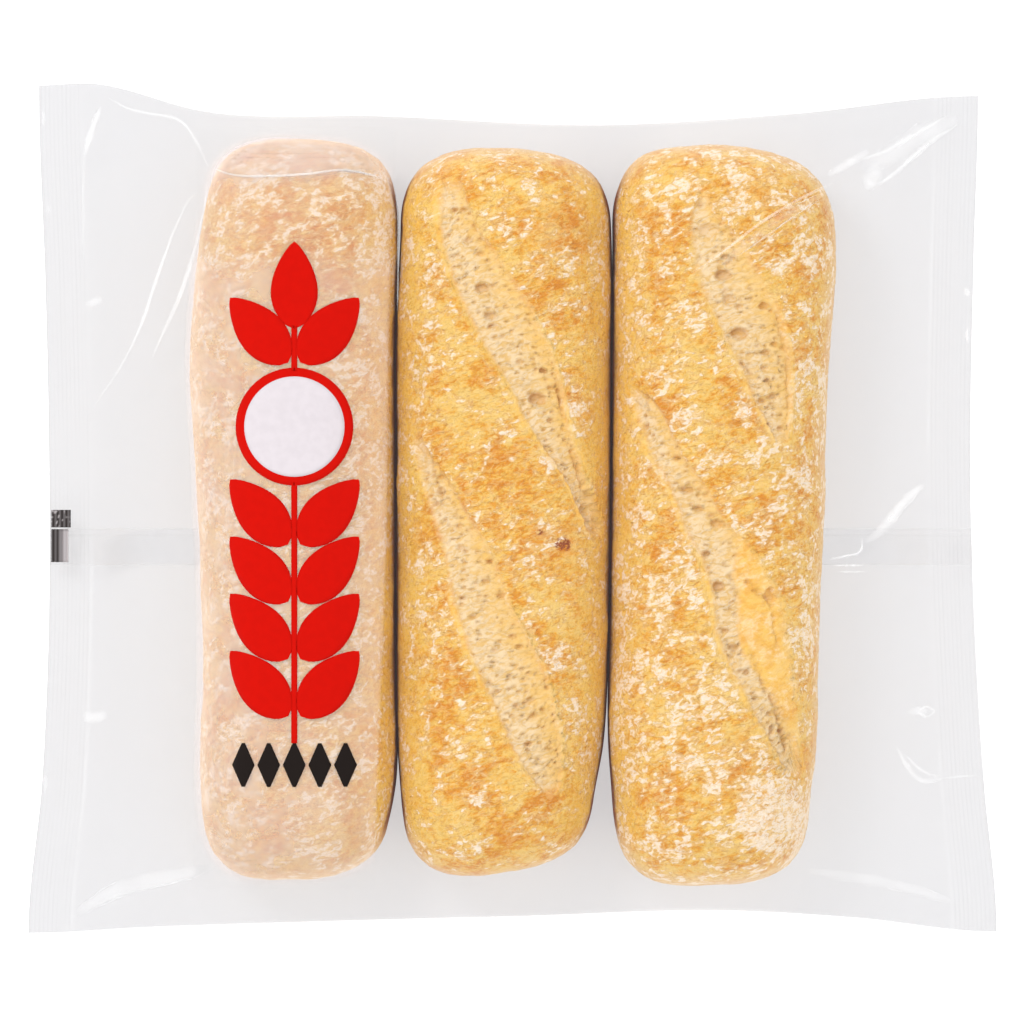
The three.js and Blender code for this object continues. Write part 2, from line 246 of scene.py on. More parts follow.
# The stage, in metres.
FLOOR_SIZE = 4
LAMP_PLACE = (-0.75, 0.75, 1.25)
LAMP_SIZE = 0.5
SHARP_HEIGHT = 0.012  # at which the view spans just its width


def ink(red, green, blue):
    """A colour given as it shows on a screen, from 0 to 255, as the shader wants it."""
    shares = [value / 255 for value in (red, green, blue)]
    return tuple(v / 12.92 if v <= 0.04045 else ((v + 0.055) / 1.055) ** 2.4 for v in shares)


# ---- Settings --------------------------------------------------------------------------------

def colour_setting(name, description, default):
    return bpy.props.FloatVectorProperty(
        name=name, description=description, subtype="COLOR", default=default)


def length_setting(name, description, default):
    return bpy.props.FloatProperty(name=name, description=description, unit="LENGTH", default=default)


class BagLoafSettings(bpy.types.PropertyGroup):
    """How the bread looks."""
    pale: colour_setting("Pale crust", "Crust that the oven has barely coloured", ink(241, 198, 106))
    golden: colour_setting("Golden crust", "Most of the crust", ink(237, 173, 52))
    toasted: colour_setting("Toasted crust", "The brownest patches", ink(218, 132, 22))
    scorch: colour_setting("Scorched crust", "Small burnt blisters", ink(150, 72, 26))
    # Painted shade: the colour painted into the bottoms of the fine wrinkles and as thin outlines round the
    # flour flecks.
    crease: colour_setting("Crust creases", "The finest wrinkles' bottoms", ink(194, 120, 36))
    lip: colour_setting("Slash lips", "The smooth crust beside a slash", ink(243, 192, 92))
    # Partly the paler crust of a side that baked against another loaf, partly painted light that lifts the
    # shade between the loaves.
    side: colour_setting("Sides", "The paler crust on a side that faces another loaf", ink(252, 208, 88))
    # Painted shade: the dark colour painted where two loaves touch, standing in for the shade in the gap
    # between them.
    gap_shade: colour_setting("Flanks", "The dark crust where two loaves touch", ink(146, 76, 28))
    bloom: colour_setting(
        "Bloom", "The floury crust low on the outer sides and the ends", ink(235, 201, 163))
    crumb: colour_setting("Crumb", "The open inside of a slash", ink(240, 212, 168))
    shade: colour_setting(
        "Crumb between strands", "Crumb in the shade of its own strands", ink(229, 186, 114))
    # Painted shade: the colour painted into the crumb's pores, bubbles, holes and slits, darkest on their
    # upper left.
    pit_shade: colour_setting("Pores", "The small pits of the crumb", ink(196, 136, 56))
    flour: colour_setting("Flour", "Flecks and patches of flour", ink(252, 232, 208))
    dusting: colour_setting("Dusting", "The thin flour on the crust's high spots", ink(247, 212, 142))
    slash_depth: length_setting("Slash depth", "How far the crumb lies under the crust", 1.1 * MM)
    lip_height: length_setting("Lip height", "How far the crust curls up beside a slash", 0.35 * MM)
    wrinkles: length_setting("Wrinkles", "Depth of the crust's fine wrinkles", 0.28 * MM)
    swells: length_setting("Swells", "Depth of the crust's broad lumps", 0.7 * MM)


class BagFilmSettings(bpy.types.PropertyGroup):
    """The clear film."""
    tint: colour_setting("Tint", "What one layer of film lets through", (0.769, 0.767, 0.771))
    seam_tint: colour_setting(
        "Seam tint", "What the folded back seam lets through besides", (0.975, 0.973, 0.974))
    haze: bpy.props.FloatProperty(
        name="Haze", description="What one layer mirrors besides, from every side", subtype="FACTOR",
        default=0.005)
    index: bpy.props.FloatProperty(
        name="Index", description="Its refractive index, which sets how it mirrors", default=1.3)
    gloss: bpy.props.FloatProperty(
        name="Gloss", description="How strongly it mirrors, next to a bare surface", default=1.0)
    seal_width: length_setting("Seal width", "Width of the crimped ends", 13 * MM)
    rib_depth: length_setting("Rib depth", "Height of a crimped end's ribs", 0.3 * MM)
    clearance: length_setting("Clearance", "Between the film and the crust", 0.9 * MM)


class BagPrintSettings(bpy.types.PropertyGroup):
    """The inks printed on the film."""
    red: colour_setting("Red", "Ink of the ear of grain", ink(185, 9, 0))
    white: colour_setting("White", "Ink of the plain disc", ink(197, 190, 194))
    black: colour_setting("Black", "Ink of the small row and the mark", ink(28, 22, 20))
    # Also painted light: the mark's ink turns towards it on the seal's rib crests.
    worn_and_rib_lit: colour_setting("Worn", "What shows where the mark's ink is worn", (0.55, 0.51, 0.52))
    milk: colour_setting("Milky field", "Thin white ink over one loaf", (0.7, 0.59, 0.555))
    milkiness: bpy.props.FloatProperty(
        name="Milkiness", description="How much the thin white ink hides", subtype="FACTOR",
        default=0.36)


class BagStageSettings(bpy.types.PropertyGroup):
    """Floor, lights and camera."""
    floor: colour_setting("Floor", "The light table's pale top", (0.4, 0.4, 0.41))
    glow: bpy.props.FloatProperty(name="Glow", description="The light table's own light", default=0.84)
    ambient: bpy.props.FloatProperty(name="Ambient", description="Light from all around", default=1.36)
    key: bpy.props.FloatProperty(
        name="Key", description="Light from beyond the far left corner", unit="POWER", default=8)
    distance: length_setting("Camera height", "Above the table", 3)
    width: length_setting("View width", "What the camera's view spans", 307.2 * MM)
    centre: bpy.props.FloatVectorProperty(
        name="View centre", description="Where the camera looks", size=2, unit="LENGTH",
        default=(-0.15 * MM, -1.35 * MM))


# ---- Curves and forms -------------------------------------------------------------------------

def cubic(stations, values, slopes, at):
    """What a curve gives between its stations, from its values and slopes there."""
    k = np.clip(np.searchsorted(stations, at) - 1, 0, len(stations) - 2)
    span = stations[k + 1] - stations[k]
    t = (at - stations[k]) / span
    if values.ndim > 1:
        span, t = span[:, None], t[:, None]
    return (values[k] * (1 + 2 * t) * (1 - t) ** 2 + values[k + 1] * t ** 2 * (3 - 2 * t)
            + span * (slopes[k] * t * (1 - t) ** 2 - slopes[k + 1] * t ** 2 * (1 - t)))


def through(stations, values, at):
    """A smooth curve's value: it passes through each value at its station, and is flat beyond."""
    order = np.argsort(stations)
    stations, values = np.array(stations, float)[order], np.array(values, float)[order]
    slopes = np.gradient(values, stations)
    slopes[[0, -1]] = 0
    return cubic(stations, values, slopes, np.clip(at, stations[0], stations[-1]))


def band(rows, at):
    """The middle and the half width of what lies between two curves, given as (y, left x, right x)."""
    stations, lefts, rights = np.array(rows, float).T
    left, right = through(stations, lefts, at), through(stations, rights, at)
    return (left + right) / 2, (right - left) / 2


def path_points(points, count):
    """That many points along a smooth path through the given ones, evenly spread."""
    points = np.array(points, float)
    reach = np.concatenate(([0], np.cumsum(np.hypot(*np.diff(points, axis=0).T))))
    return cubic(reach, points, np.gradient(points, reach, axis=0), np.linspace(0, reach[-1], count))


def smoothstep(low, high, value):
    """0 below low, 1 above high, and an even turn between; high may be the lower one."""
    t = np.clip((value - low) / (high - low), 0, 1)
    return t * t * (3 - 2 * t)


def lumps(points, size, seed=0.0):
    """Smooth noise from about -1 to 1 with lumps of that size; a size for each axis stretches it."""
    return np.array([noise.noise(p) for p in (points / np.array(size) + seed).tolist()])


def cells(points, size, seed=0.0):
    """Distance to the nearest of many scattered points, in units of size, how far each place lies on
    its upper left side, from -1 to 1, and a number from 0 to 1 of the nearest point's own."""
    nearest, side, own = [], [], []
    for p in (points / size + seed).tolist():
        distances, places = noise.voronoi(p)
        nearest.append(distances[0])
        side.append((p[1] - places[0][1] - p[0] + places[0][0]) / max(1.4 * distances[0], 0.05))
        own.append(places[0][0] * 7.31 + places[0][1] * 3.17)
    return np.array(nearest), np.array(side), np.array(own) % 1


def near_path(points, path, width):
    """1 on a path of straight stretches seen from above, falling off over that width."""
    share = np.zeros(len(points))
    for start, end in zip(np.array(path[:-1], float), np.array(path[1:], float)):
        along = np.clip((points[:, :2] - start) @ (end - start) / ((end - start) @ (end - start)), 0, 1)
        gap = np.hypot(*(points[:, :2] - start - along[:, None] * (end - start)).T)
        share = np.maximum(share, np.exp(-(gap / width) ** 2))
    return share


def block(columns, rows, layers=1, fine_above=None):
    """A cube from -1 to 1, cut into that many columns, rows and layers, twice as fine above a level."""
    bm = bmesh.new()
    bmesh.ops.create_cube(bm, size=2)
    for axis, count in enumerate((columns, rows, layers)):
        if count > 1:
            along = [e for e in bm.edges if abs(e.verts[0].co[axis] - e.verts[1].co[axis]) > 1]
            bmesh.ops.subdivide_edges(bm, edges=along, cuts=count - 1, use_grid_fill=True)
    if fine_above is not None:
        upper = [e for e in bm.edges if min(corner.co.z for corner in e.verts) > fine_above]
        bmesh.ops.subdivide_edges(bm, edges=upper, cuts=1, use_grid_fill=True)
    return bm


def sheet(columns, rows):
    """A square from -1 to 1, cut into that many columns and rows."""
    bm = bmesh.new()
    bmesh.ops.create_grid(bm, x_segments=columns, y_segments=rows, size=1)
    return bm


def read_points(mesh):
    points = np.empty(len(mesh.vertices) * 3, np.float32)
    mesh.vertices.foreach_get("co", points)
    return points.reshape(-1, 3).astype(float)


def write_points(mesh, points):
    mesh.vertices.foreach_set("co", np.asarray(points, np.float32).ravel())
    mesh.update()


def read_normals(mesh):
    normals = np.empty(len(mesh.vertices) * 3, np.float32)
    mesh.vertex_normals.foreach_get("vector", normals)
    return normals.reshape(-1, 3).astype(float)


def paint(mesh, name, values):
    """Stores a number for each point, which the material reads by its name."""
    layer = mesh.attributes.new(name, "FLOAT", "POINT")
    layer.data.foreach_set("value", np.asarray(values, np.float32))


def moved_mesh(name, bm, place):
    """A mesh made of a lattice whose points go where place puts them, in millimetres."""
    mesh = bpy.data.meshes.new(name)
    bm.to_mesh(mesh)
    bm.free()
    write_points(mesh, place(read_points(mesh)) * MM)
    mesh.polygons.foreach_set("use_smooth", [True] * len(mesh.polygons))
    return mesh


def add_piece(name, mesh, material):
    """Puts a mesh in the scene as a piece of the bag."""
    piece = bpy.data.objects.new(name, mesh)
    bpy.context.scene.collection.objects.link(piece)
    mesh.materials.append(material)
    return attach(piece, BODY)


# ---- Bread -----------------------------------------------------------------------------------

def loaf_frame(loaf, x, y):
    """Where points lie across a loaf, from -1 to 1, and how far out, up to 1 at its outline."""
    middle, half = band(loaf["sides"], y)
    front, back = loaf["ends"]
    across = (x - middle) / half
    along = (y - (front + back) / 2) / ((back - front) / 2)
    slant = np.where(along > 0, loaf["slants"][1], loaf["slants"][0])
    along = along - slant * np.clip(across, -1, 1) * np.abs(along) ** 3 / ((back - front) / 2)
    return across, np.abs(across) ** SECTION_POWER + np.abs(along) ** END_POWER


def bread_top(x, y):
    """The crust's height above the table, or 0 where there is no bread."""
    top = np.zeros_like(x)
    for loaf in LOAVES:
        reach = loaf_frame(loaf, x, y)[1]
        dome = np.clip(1 - reach, 0, 1) ** (1 / DOME_POWER)
        top = np.maximum(top, np.where(reach < 1, WAIST + (loaf["height"] - WAIST) * dome, 0))
    return top


def loaf_form(loaf, cube):
    """Moves a cube's points out or in along their own directions to a loaf's plain form."""
    low, high = np.full(len(cube), 0.2), np.ones(len(cube))
    powers = np.where(cube[:, 2] > 0, DOME_POWER, BASE_POWER)
    for _ in range(30):
        share = (low + high) / 2
        reach = (np.abs(share * cube[:, 0]) ** SECTION_POWER + np.abs(share * cube[:, 1]) ** END_POWER
                 + np.abs(share * cube[:, 2]) ** powers)
        low, high = np.where(reach < 1, share, low), np.where(reach < 1, high, share)
    across, along, up = (cube * high[:, None]).T
    front, back = loaf["ends"]
    slant = np.where(along > 0, loaf["slants"][1], loaf["slants"][0])
    y = (front + back) / 2 + along * (back - front) / 2 + slant * across * np.abs(along) ** 3
    middle, half = band(loaf["sides"], y)
    z = WAIST + np.where(up > 0, up * (loaf["height"] - WAIST), up * (WAIST - 1))
    return np.stack((middle + across * half, y, z), axis=1)


def slash_shares(slash, points):
    """Across a slash from -1 to 1, how open it is, its half width and where its lips stand out."""
    y = points[:, 1] + 0.5 * lumps(points, 5.0, 2.0)
    middle, half = band(slash["stations"], y)
    ragged = 0.6 * lumps(points, 3.2, 9.0) + 0.45 * lumps(points, 1.1, 5.0)
    half = np.maximum(half, 0.4)
    across = (points[:, 0] + ragged - middle) / half
    tips = np.minimum(slash["stations"][0][0] - y, y - slash["stations"][-1][0])
    opened = smoothstep(-0.5, 4, tips) * smoothstep(0.5, 2.5, half)
    side = np.where(across < 0, slash["lips"][0], slash["lips"][1])
    lipped = smoothstep(side + 4, side - 4, y) * (0.85 + 0.4 * lumps(points, (4, 6, 4), 17.0))
    return across, opened, half, lipped


def skin_share(slash, points):
    """How far baked skin has closed over a slash's crumb from its right side, from 0 to 1."""
    if "skin" not in slash:
        return np.zeros(len(points))
    patchy = lumps(points, (5, 3, 5), 21.0)
    stations, starts = np.array(slash["skin"], float).T
    return smoothstep(-0.8, 1.6, points[:, 0] + patchy - through(stations, starts, points[:, 1]))


def crumb_relief(points, seed):
    """How deep the crumb's bubbles go, and how dark they look from the shade in them."""
    drawn = points * np.array((0.62, 1.15, 0.9))
    deep = 0.25 * lumps(points, (2.6, 1.1, 2), seed + 9)
    dark = np.zeros(len(points))
    for size, left_out, strength in BUBBLES:
        away, side, own = cells(drawn, size, seed + 8 * size)
        bubble = smoothstep(0.44, 0.2, away) * (own > left_out)
        deep += strength * bubble
        # Painted shade in each bubble, darker on its upper left side.
        dark += strength * bubble * np.clip(0.4 + 0.6 * side, 0.05, 1) * (0.4 + own)
    return deep, dark


def crust_relief(points, settings, seed):
    """The crust's broad lumps and fine wrinkles, in millimetres."""
    swells = lumps(points, 26.0, seed) + 0.5 * lumps(points, 11.0, seed + 4)
    warped = points + 1.2 * np.stack([lumps(points, 6.0, seed + k) for k in (1, 2, 3)], axis=1)
    wrinkles = (0.6 * lumps(warped, (4.6, 2.4, 3.5), seed + 5)
                + 0.6 * (0.35 - np.abs(lumps(warped, (3.4, 1.7, 2.5), seed + 6)))
                + 0.35 * lumps(warped, 1.1, seed + 7))
    return settings.swells / MM * swells + settings.wrinkles / MM * wrinkles


def dig_holes(slash, points, inside, seed, deep, tinted):
    """Puts a slash's larger holes into its depth and shade, darkest on their upper left."""
    wobble = 0.25 * np.stack([lumps(points, 1.4, seed + 12), lumps(points, 1.4, seed + 13)], axis=1)
    for x, y, wide, long, depth in slash["holes"]:
        turned = (points[:, :2] - (x, y)) + wobble
        from_hole = np.hypot(turned[:, 0] / wide, turned[:, 1] / long)
        hole = smoothstep(1.08, 0.72, from_hole) * inside
        rim = np.exp(-((from_hole - 1.15) / 0.16) ** 2) * inside
        deep = deep * (1 - hole) + hole * depth - 0.12 * rim
        # Painted shade: each hole is painted darker on its upper left.
        side = np.clip(0.55 + 0.9 * (turned[:, 1] / long - turned[:, 0] / wide) / 1.4, 0.15, 1.6)
        tinted = tinted * (1 - hole) + hole * (0.45 + 0.35 * depth) * side
    return deep, tinted


def slit_share(slash, points, seed):
    """How deep a slash's narrow slits go, broken up along their length."""
    shifted = points + 0.4 * lumps(points, 2.0, 3.0)[:, None]
    broken = smoothstep(-0.45, 0.1, lumps(points, 1.5, seed + 23))
    return sum(strength * broken * near_path(shifted, path, width)
               for path, width, strength in slash["slits"])


def add_loaf(loaf, settings, material):
    """One loaf: its plain form, then the relief of its crust and slashes."""
    mesh = moved_mesh(loaf["name"], block(*LOAF_LATTICE), lambda cube: loaf_form(loaf, cube))
    points = read_points(mesh) / MM
    normals = read_normals(mesh)
    facing = smoothstep(0.05, 0.5, normals[:, 2])
    seed = loaf["seed"]
    relief = crust_relief(points, settings, seed)

    crumb, shaded_pits, lips, skin = np.zeros((4, len(points)))
    for slash in loaf["slashes"]:
        across, opened, half, lipped = slash_shares(slash, points)
        blur = 0.09 + 0.12 * (1 - lipped)
        inside = smoothstep(1 + blur, 1 - blur, np.abs(across)) * opened * facing
        edge = (np.abs(across) - 1) * half
        wide = np.where(across > 0, 0.55, 0.95)
        lip = np.clip(np.exp(-((edge - wide) / wide) ** 2) * opened * facing * lipped, 0, 1)
        near = inside > 0.01
        deep = np.zeros(len(points))
        # The crumb's painted shade: darker in its bubbles, holes and slits, and on their upper left sides.
        tinted = np.zeros(len(points))
        deep[near], tinted[near] = crumb_relief(points[near], seed)
        closed = inside * skin_share(slash, points)
        toned = 0.7 * smoothstep(-0.4, 1.1, across + 0.4 * lumps(points, (5, 3, 5), seed + 21))
        skin = np.maximum(skin, np.maximum(closed, inside * toned))
        deep, tinted = dig_holes(slash, points, inside, seed, deep * (1 - closed), tinted * (1 - closed))
        slit = slit_share(slash, points, seed)
        deep += slit
        # Painted shade in the slits.
        tinted += 1.4 * slit
        sunk = settings.slash_depth / MM * (1 - 0.55 * closed) + deep
        relief = relief * (1 - 0.75 * np.maximum(inside, lip)) - inside * sunk
        relief += settings.lip_height / MM * lip
        crumb = np.maximum(crumb, inside * (1 - 0.75 * closed))
        lips = np.maximum(lips, np.maximum(lip, 0.6 * closed))
        shaded_pits = np.maximum(shaded_pits, np.clip(tinted, 0, 2) * inside)
    # The outer sides and the ends face no other loaf.
    outer = np.maximum(smoothstep(60, 75, np.abs(points[:, 0] + 2)),
                       smoothstep(92, 102, np.abs(points[:, 1])))
    low = points[:, 2] + 1.5 * lumps(points, 5.0, seed + 18)
    # Where a loaf touches the next, its relief is flattened and its side painted dark as shade in the gap.
    pressed_and_shaded = smoothstep(*PRESSED_AND_SHADED, low) * (1 - outer)
    write_points(mesh, (points + (relief * (1 - pressed_and_shaded))[:, None] * normals) * MM)

    toast = np.zeros(len(points))
    ragged = 0.35 * lumps(points, 7.0, seed + 15)
    for x, y, wide, long, strength in loaf["toasted"]:
        spot = np.hypot((points[:, 0] - x) / wide, (points[:, 1] - y) / long) + ragged
        toast += strength * smoothstep(1.15, 0.2, spot)
    shares = dict(
        crumb=crumb, shaded_pits=shaded_pits, lips=lips, skin=skin, toast=toast * facing,
        flour=floury_places(loaf, points), gap_shade=pressed_and_shaded,
        side=smoothstep(*FACING_SIDE, low) * (1 - outer), bloom=smoothstep(*FLOURY_SIDE, low) * outer)
    for name, values in shares.items():
        paint(mesh, name, values)
    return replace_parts(add_piece(loaf["name"], mesh, material), SOLID)


def floury_places(loaf, points):
    """How floury each point is, from 0 to 1 and over for the whitest patches."""
    flour = loaf["floury"] + 0.35 * lumps(points, 19.0, loaf["seed"] + 20)
    if loaf["name"] in FLOUR_PATCHES:
        x, y, wide, long, strength = FLOUR_PATCHES[loaf["name"]]
        patch = np.hypot((points[:, 0] - x) / wide, (points[:, 1] - y) / long)
        flour += strength * smoothstep(1.1, 0.3, patch + 0.2 * lumps(points, 6.0, 1.0))
    return flour


# ---- Film ------------------------------------------------------------------------------------

class Drape:
    """The film's heights over and under the bread, on a grid that runs from edge to edge."""
    RIM_CORNER = 5  # the rim's height at the corners, amid a seal and amid a fold
    RIM_SEAL = 9
    RIM_FOLD = 13
    DROOP = 1.6  # how far a seal's outer edge hangs below its root
    RIBS = 10  # across a seal
    STEPS_PER_RIB = 4
    POCKET_STEPS = 168  # of the grid between the seals
    FOLD_STEPS = 160  # of the grid from fold to fold
    SAGGING = 97  # how far from the middle the film above sags
    SAG_OVER, SAG_UNDER = 0.011, 0.02  # how much the film hangs through
    SWEEPS, PUSH = 700, 1.8  # of the relaxing, and how far past even each step goes

    def __init__(self, film):
        width = CAD_BOX[1][0] - CAD_BOX[0][0]
        self.seal = film.seal_width / width
        seal_steps = self.RIBS * self.STEPS_PER_RIB
        left = np.linspace(0, self.seal, seal_steps + 1)
        pocket = np.linspace(self.seal, 1 - self.seal, self.POCKET_STEPS + 1)
        self.u = np.concatenate((left[:-1], pocket, 1 - left[::-1][1:]))
        even = np.linspace(0, 1, self.FOLD_STEPS + 1)
        self.v = 0.75 * even + 0.25 * (1 - np.cos(math.pi * even)) / 2
        u, v = np.meshgrid(self.u, self.v, indexing="ij")
        self.x, self.y = self.plan(u, v)
        sheet = self.rim(u, v) + self.ribs(u) * film.rib_depth / MM / 2
        self.over, self.under = sheet + FILM_HALF, sheet - FILM_HALF
        self.pocket = slice(seal_steps, len(self.u) - seal_steps)
        bread = bread_top(self.x, self.y)
        clear = np.where(bread > 0, bread + film.clearance / MM, 0)
        self.settle(self.over, clear, np.where(np.abs(self.x) < self.SAGGING, self.SAG_OVER, 0.0))
        flat = np.where(bread > WAIST + 12, FILM_BOTTOM, 1e3)
        self.settle(self.under, np.full_like(sheet, FILM_BOTTOM), np.full_like(sheet, self.SAG_UNDER), flat)
        self.over[self.pocket] += self.puckers(u, v)[self.pocket]

    @staticmethod
    def plan(u, v):
        """The place on the table of a share across the bag and a share from front to back."""
        def edge(curve, axis, share):
            points = np.array(curve, float)
            at = points[0, axis] + share * (points[-1, axis] - points[0, axis])
            return through(points[:, axis], points[:, 1 - axis], at)
        x = edge(LEFT_EDGE, 1, v) * (1 - u) + edge(RIGHT_EDGE, 1, v) * u
        y = edge(FRONT_FOLD, 0, u) * (1 - v) + edge(BACK_FOLD, 0, u) * v
        return x, y

    def rim(self, u, v):
        """The height of the seals and folds: lowest at the corners, drooping towards the edge."""
        across, along = 2 * v - 1, 2 * u - 1
        outward = np.clip(1 - np.minimum(u, 1 - u) / self.seal, 0, 1)
        seal = (self.RIM_CORNER + (self.RIM_SEAL - self.RIM_CORNER) * (1 - across ** 2)
                + 0.8 * np.sin(math.pi * 2.5 * v))
        fold = self.RIM_CORNER + (self.RIM_FOLD - self.RIM_CORNER) * (1 - along ** 4)
        share = np.abs(across) ** 8 * (1 - along ** 8)
        return seal + (fold - seal) * share - self.DROOP * outward

    def ribs(self, u):
        from_edge = np.minimum(u, 1 - u) / self.seal
        return np.where(from_edge < 1, np.cos(2 * math.pi * self.RIBS * from_edge), 0)

    def puckers(self, u, v):
        """Small pleats that run from the seals and the folds into the bag."""
        along = np.abs(2 * u - 1)
        spots = np.stack((self.x, self.y, 0 * u), axis=-1).reshape(-1, 3)
        waves = lumps(spots, (40.0, 7.0, 1.0), 31).reshape(u.shape)
        creep = lumps(spots, (9.0, 40.0, 1.0), 37).reshape(u.shape)
        near_seal = smoothstep(0.58, 0.75, along) * smoothstep(1, 0.9, along)
        from_fold = np.minimum(v, 1 - v)
        near_fold = smoothstep(0.06, 0.02, from_fold) * smoothstep(0, 0.01, from_fold)
        return 0.5 * waves * near_seal + 0.35 * creep * near_fold

    def settle(self, sheet, floor, sag, ceiling=None):
        """Relaxes a stretched sheet between the seals, held at its rim and resting on what it covers."""
        x, y, height = self.x[self.pocket], self.y[self.pocket], sheet[self.pocket]
        floor, sag = floor[self.pocket][1:-1, 1:-1], sag[self.pocket][1:-1, 1:-1]
        ceiling = None if ceiling is None else ceiling[self.pocket][1:-1, 1:-1]
        pull_x = 4 / (x[2:, 1:-1] - x[:-2, 1:-1]) ** 2
        pull_y = 4 / (y[1:-1, 2:] - y[1:-1, :-2]) ** 2
        room = sag / (pull_x + pull_y)
        inner = height[1:-1, 1:-1]
        checks = np.add.outer(np.arange(inner.shape[0]), np.arange(inner.shape[1])) % 2
        for _ in range(self.SWEEPS):
            for colour in (0, 1):
                level = (((height[:-2, 1:-1] + height[2:, 1:-1]) * pull_x
                          + (height[1:-1, :-2] + height[1:-1, 2:]) * pull_y) / (2 * (pull_x + pull_y)))
                moved = np.maximum(inner + self.PUSH * (level - room - inner), floor)
                if ceiling is not None:
                    moved = np.minimum(moved, ceiling)
                inner[checks == colour] = moved[checks == colour]

    def height(self, x, y, over=True):
        """The film's height at places on the table."""
        u = (x - self.x.min()) / np.ptp(self.x)
        v = (y - self.y.min()) / np.ptp(self.y)
        for _ in range(8):
            near_x, near_y = self.plan(u, v)
            u = np.clip(u + (x - near_x) / np.ptp(self.x), 0, 1)
            v = np.clip(v + (y - near_y) / np.ptp(self.y), 0, 1)
        grid = self.over if over else self.under
        i = np.clip(np.searchsorted(self.u, u) - 1, 0, len(self.u) - 2)
        j = np.clip(np.searchsorted(self.v, v) - 1, 0, len(self.v) - 2)
        s = (u - self.u[i]) / (self.u[i + 1] - self.u[i])
        t = (v - self.v[j]) / (self.v[j + 1] - self.v[j])
        return ((grid[i, j] * (1 - s) + grid[i + 1, j] * s) * (1 - t)
                + (grid[i, j + 1] * (1 - s) + grid[i + 1, j + 1] * s) * t)


drapes = {}


def film_drape():
    """The bag's drape, worked out once for the film and all that lies on it."""
    if not drapes:
        drapes["film"] = Drape(bpy.context.scene.bag_film)
    return drapes["film"]


def on_film(place, low, high, over=True):
    """Lays a lattice's two faces on the film: place gives x and y, low and high the two heights."""
    def lay(cube):
        x, y = place(cube[:, 0], cube[:, 1])
        z = film_drape().height(x, y, over)
        return np.stack((x, y, z + np.where(cube[:, 2] > 0, high, low)), axis=1)
    return lay


def step(share, count):
    """Which of a lattice's steps a place from -1 to 1 is at."""
    return np.rint((share + 1) / 2 * count).astype(int)


def film_place(cube):
    """The film: a closed sheet over and under the bread."""
    drape = film_drape()
    i, j = step(cube[:, 0], len(drape.u) - 1), step(cube[:, 1], len(drape.v) - 1)
    z = np.where(cube[:, 2] > 0, drape.over[i, j], drape.under[i, j])
    return np.stack((drape.x[i, j], drape.y[i, j], z), axis=1)


def crimp_glints_and_shade(mesh):
    """How white and how dark the film looks beyond its clear self on its ends: painted highlight on the
    ribs' crests and painted shade in their valleys, a faint whiter band over each seal, a white line where
    each seal begins, and a darker cut edge.
    """
    drape = film_drape()
    points = read_points(mesh) / MM
    u = (points[:, 0] - drape.x.min()) / np.ptp(drape.x)
    v = (points[:, 1] - drape.y.min()) / np.ptp(drape.y)
    for _ in range(4):
        u = np.clip(u + (points[:, 0] - drape.plan(u, v)[0]) / np.ptp(drape.x), 0, 1)
    ribs = drape.ribs(u) * (0.6 + 0.8 * lumps(points, (2.5, 30.0, 9.0), 5))
    from_edge = np.minimum(u, 1 - u)
    sealed = from_edge < drape.seal
    root = np.exp(-((from_edge / drape.seal - 1) / 0.03) ** 2)
    rim = from_edge < 1e-4
    # Painted highlight on the rib crests and painted shade in their valleys, besides the seal band, its
    # root line and the cut edge.
    white = 0.008 * sealed + 0.035 * root + 0.05 * np.clip(ribs, 0, 1)
    return np.clip(white * ~rim, 0, 1), np.clip(0.1 * np.clip(-ribs, 0, 1) + 0.5 * rim, 0, 1)


def seam_place(cube):
    """The back seam: a strip under the film from seal to seal."""
    drape = film_drape()
    u = drape.u[step(cube[:, 0], len(drape.u) - 1)]
    y = SEAM_MIDDLE + cube[:, 1] * SEAM_WIDTH / 2
    x = drape.plan(u, (y - drape.y.min()) / np.ptp(drape.y))[0]
    return np.stack((x, y, drape.height(x, y, over=False) - SEAM_BELOW), axis=1)


def crease_place(points, half_width, height):
    """Lays a lattice along a crease: a slender ridge that runs out at its ends and sides."""
    steps = CREASE_LATTICE[1]
    spine = path_points(points, steps + 1)
    ahead = np.gradient(spine, axis=0)
    aside = np.stack((ahead[:, 1], -ahead[:, 0]), axis=1) / np.hypot(*ahead.T)[:, None]

    def place(cube):
        k = step(cube[:, 1], steps)
        slender = np.sqrt(np.clip(1 - cube[:, 1] ** 2, 0, 1)) ** 0.8
        wander = 1 + 0.35 * lumps(cube, (9, 0.2, 9), points[0][0])
        spot = spine[k] + aside[k] * (cube[:, 0] * half_width * slender * wander)[:, None]
        z = film_drape().height(spot[:, 0], spot[:, 1])
        crest = height * slender * np.clip(1 - cube[:, 0] ** 2, 0, 1)
        return np.column_stack((spot, z + np.where(cube[:, 2] > 0, 0.05 + crest, 0.02)))
    return place


# ---- Print -----------------------------------------------------------------------------------

EAR_MIDDLE = -64.8  # the ear of grain runs along the left loaf
EAR_FOOT, EAR_TIP = -70, 79
EAR_PAIRS = (-62, -45, -28, -11, 43)  # where each pair of grains starts
EAR_SPREAD = 42  # how far a pair leans out, in degrees
GRAIN_LENGTH, GRAIN_WIDTH = 26, 14
GRAIN_LATTICE = (8, 24)
STEM_WIDTH = 1.8
ROUNDEL = (-64.8, 24.0, 17.5)  # the ring's middle and outer radius
ROUNDEL_BORDER = 2.6  # how much smaller the white disc on it is
ROUNDEL_LATTICE = (24, 24)
ROW = (-83, -70)  # from where to where the black row's lozenges reach
ROW_PITCH, ROW_WIDTH = 7.6, 6.8

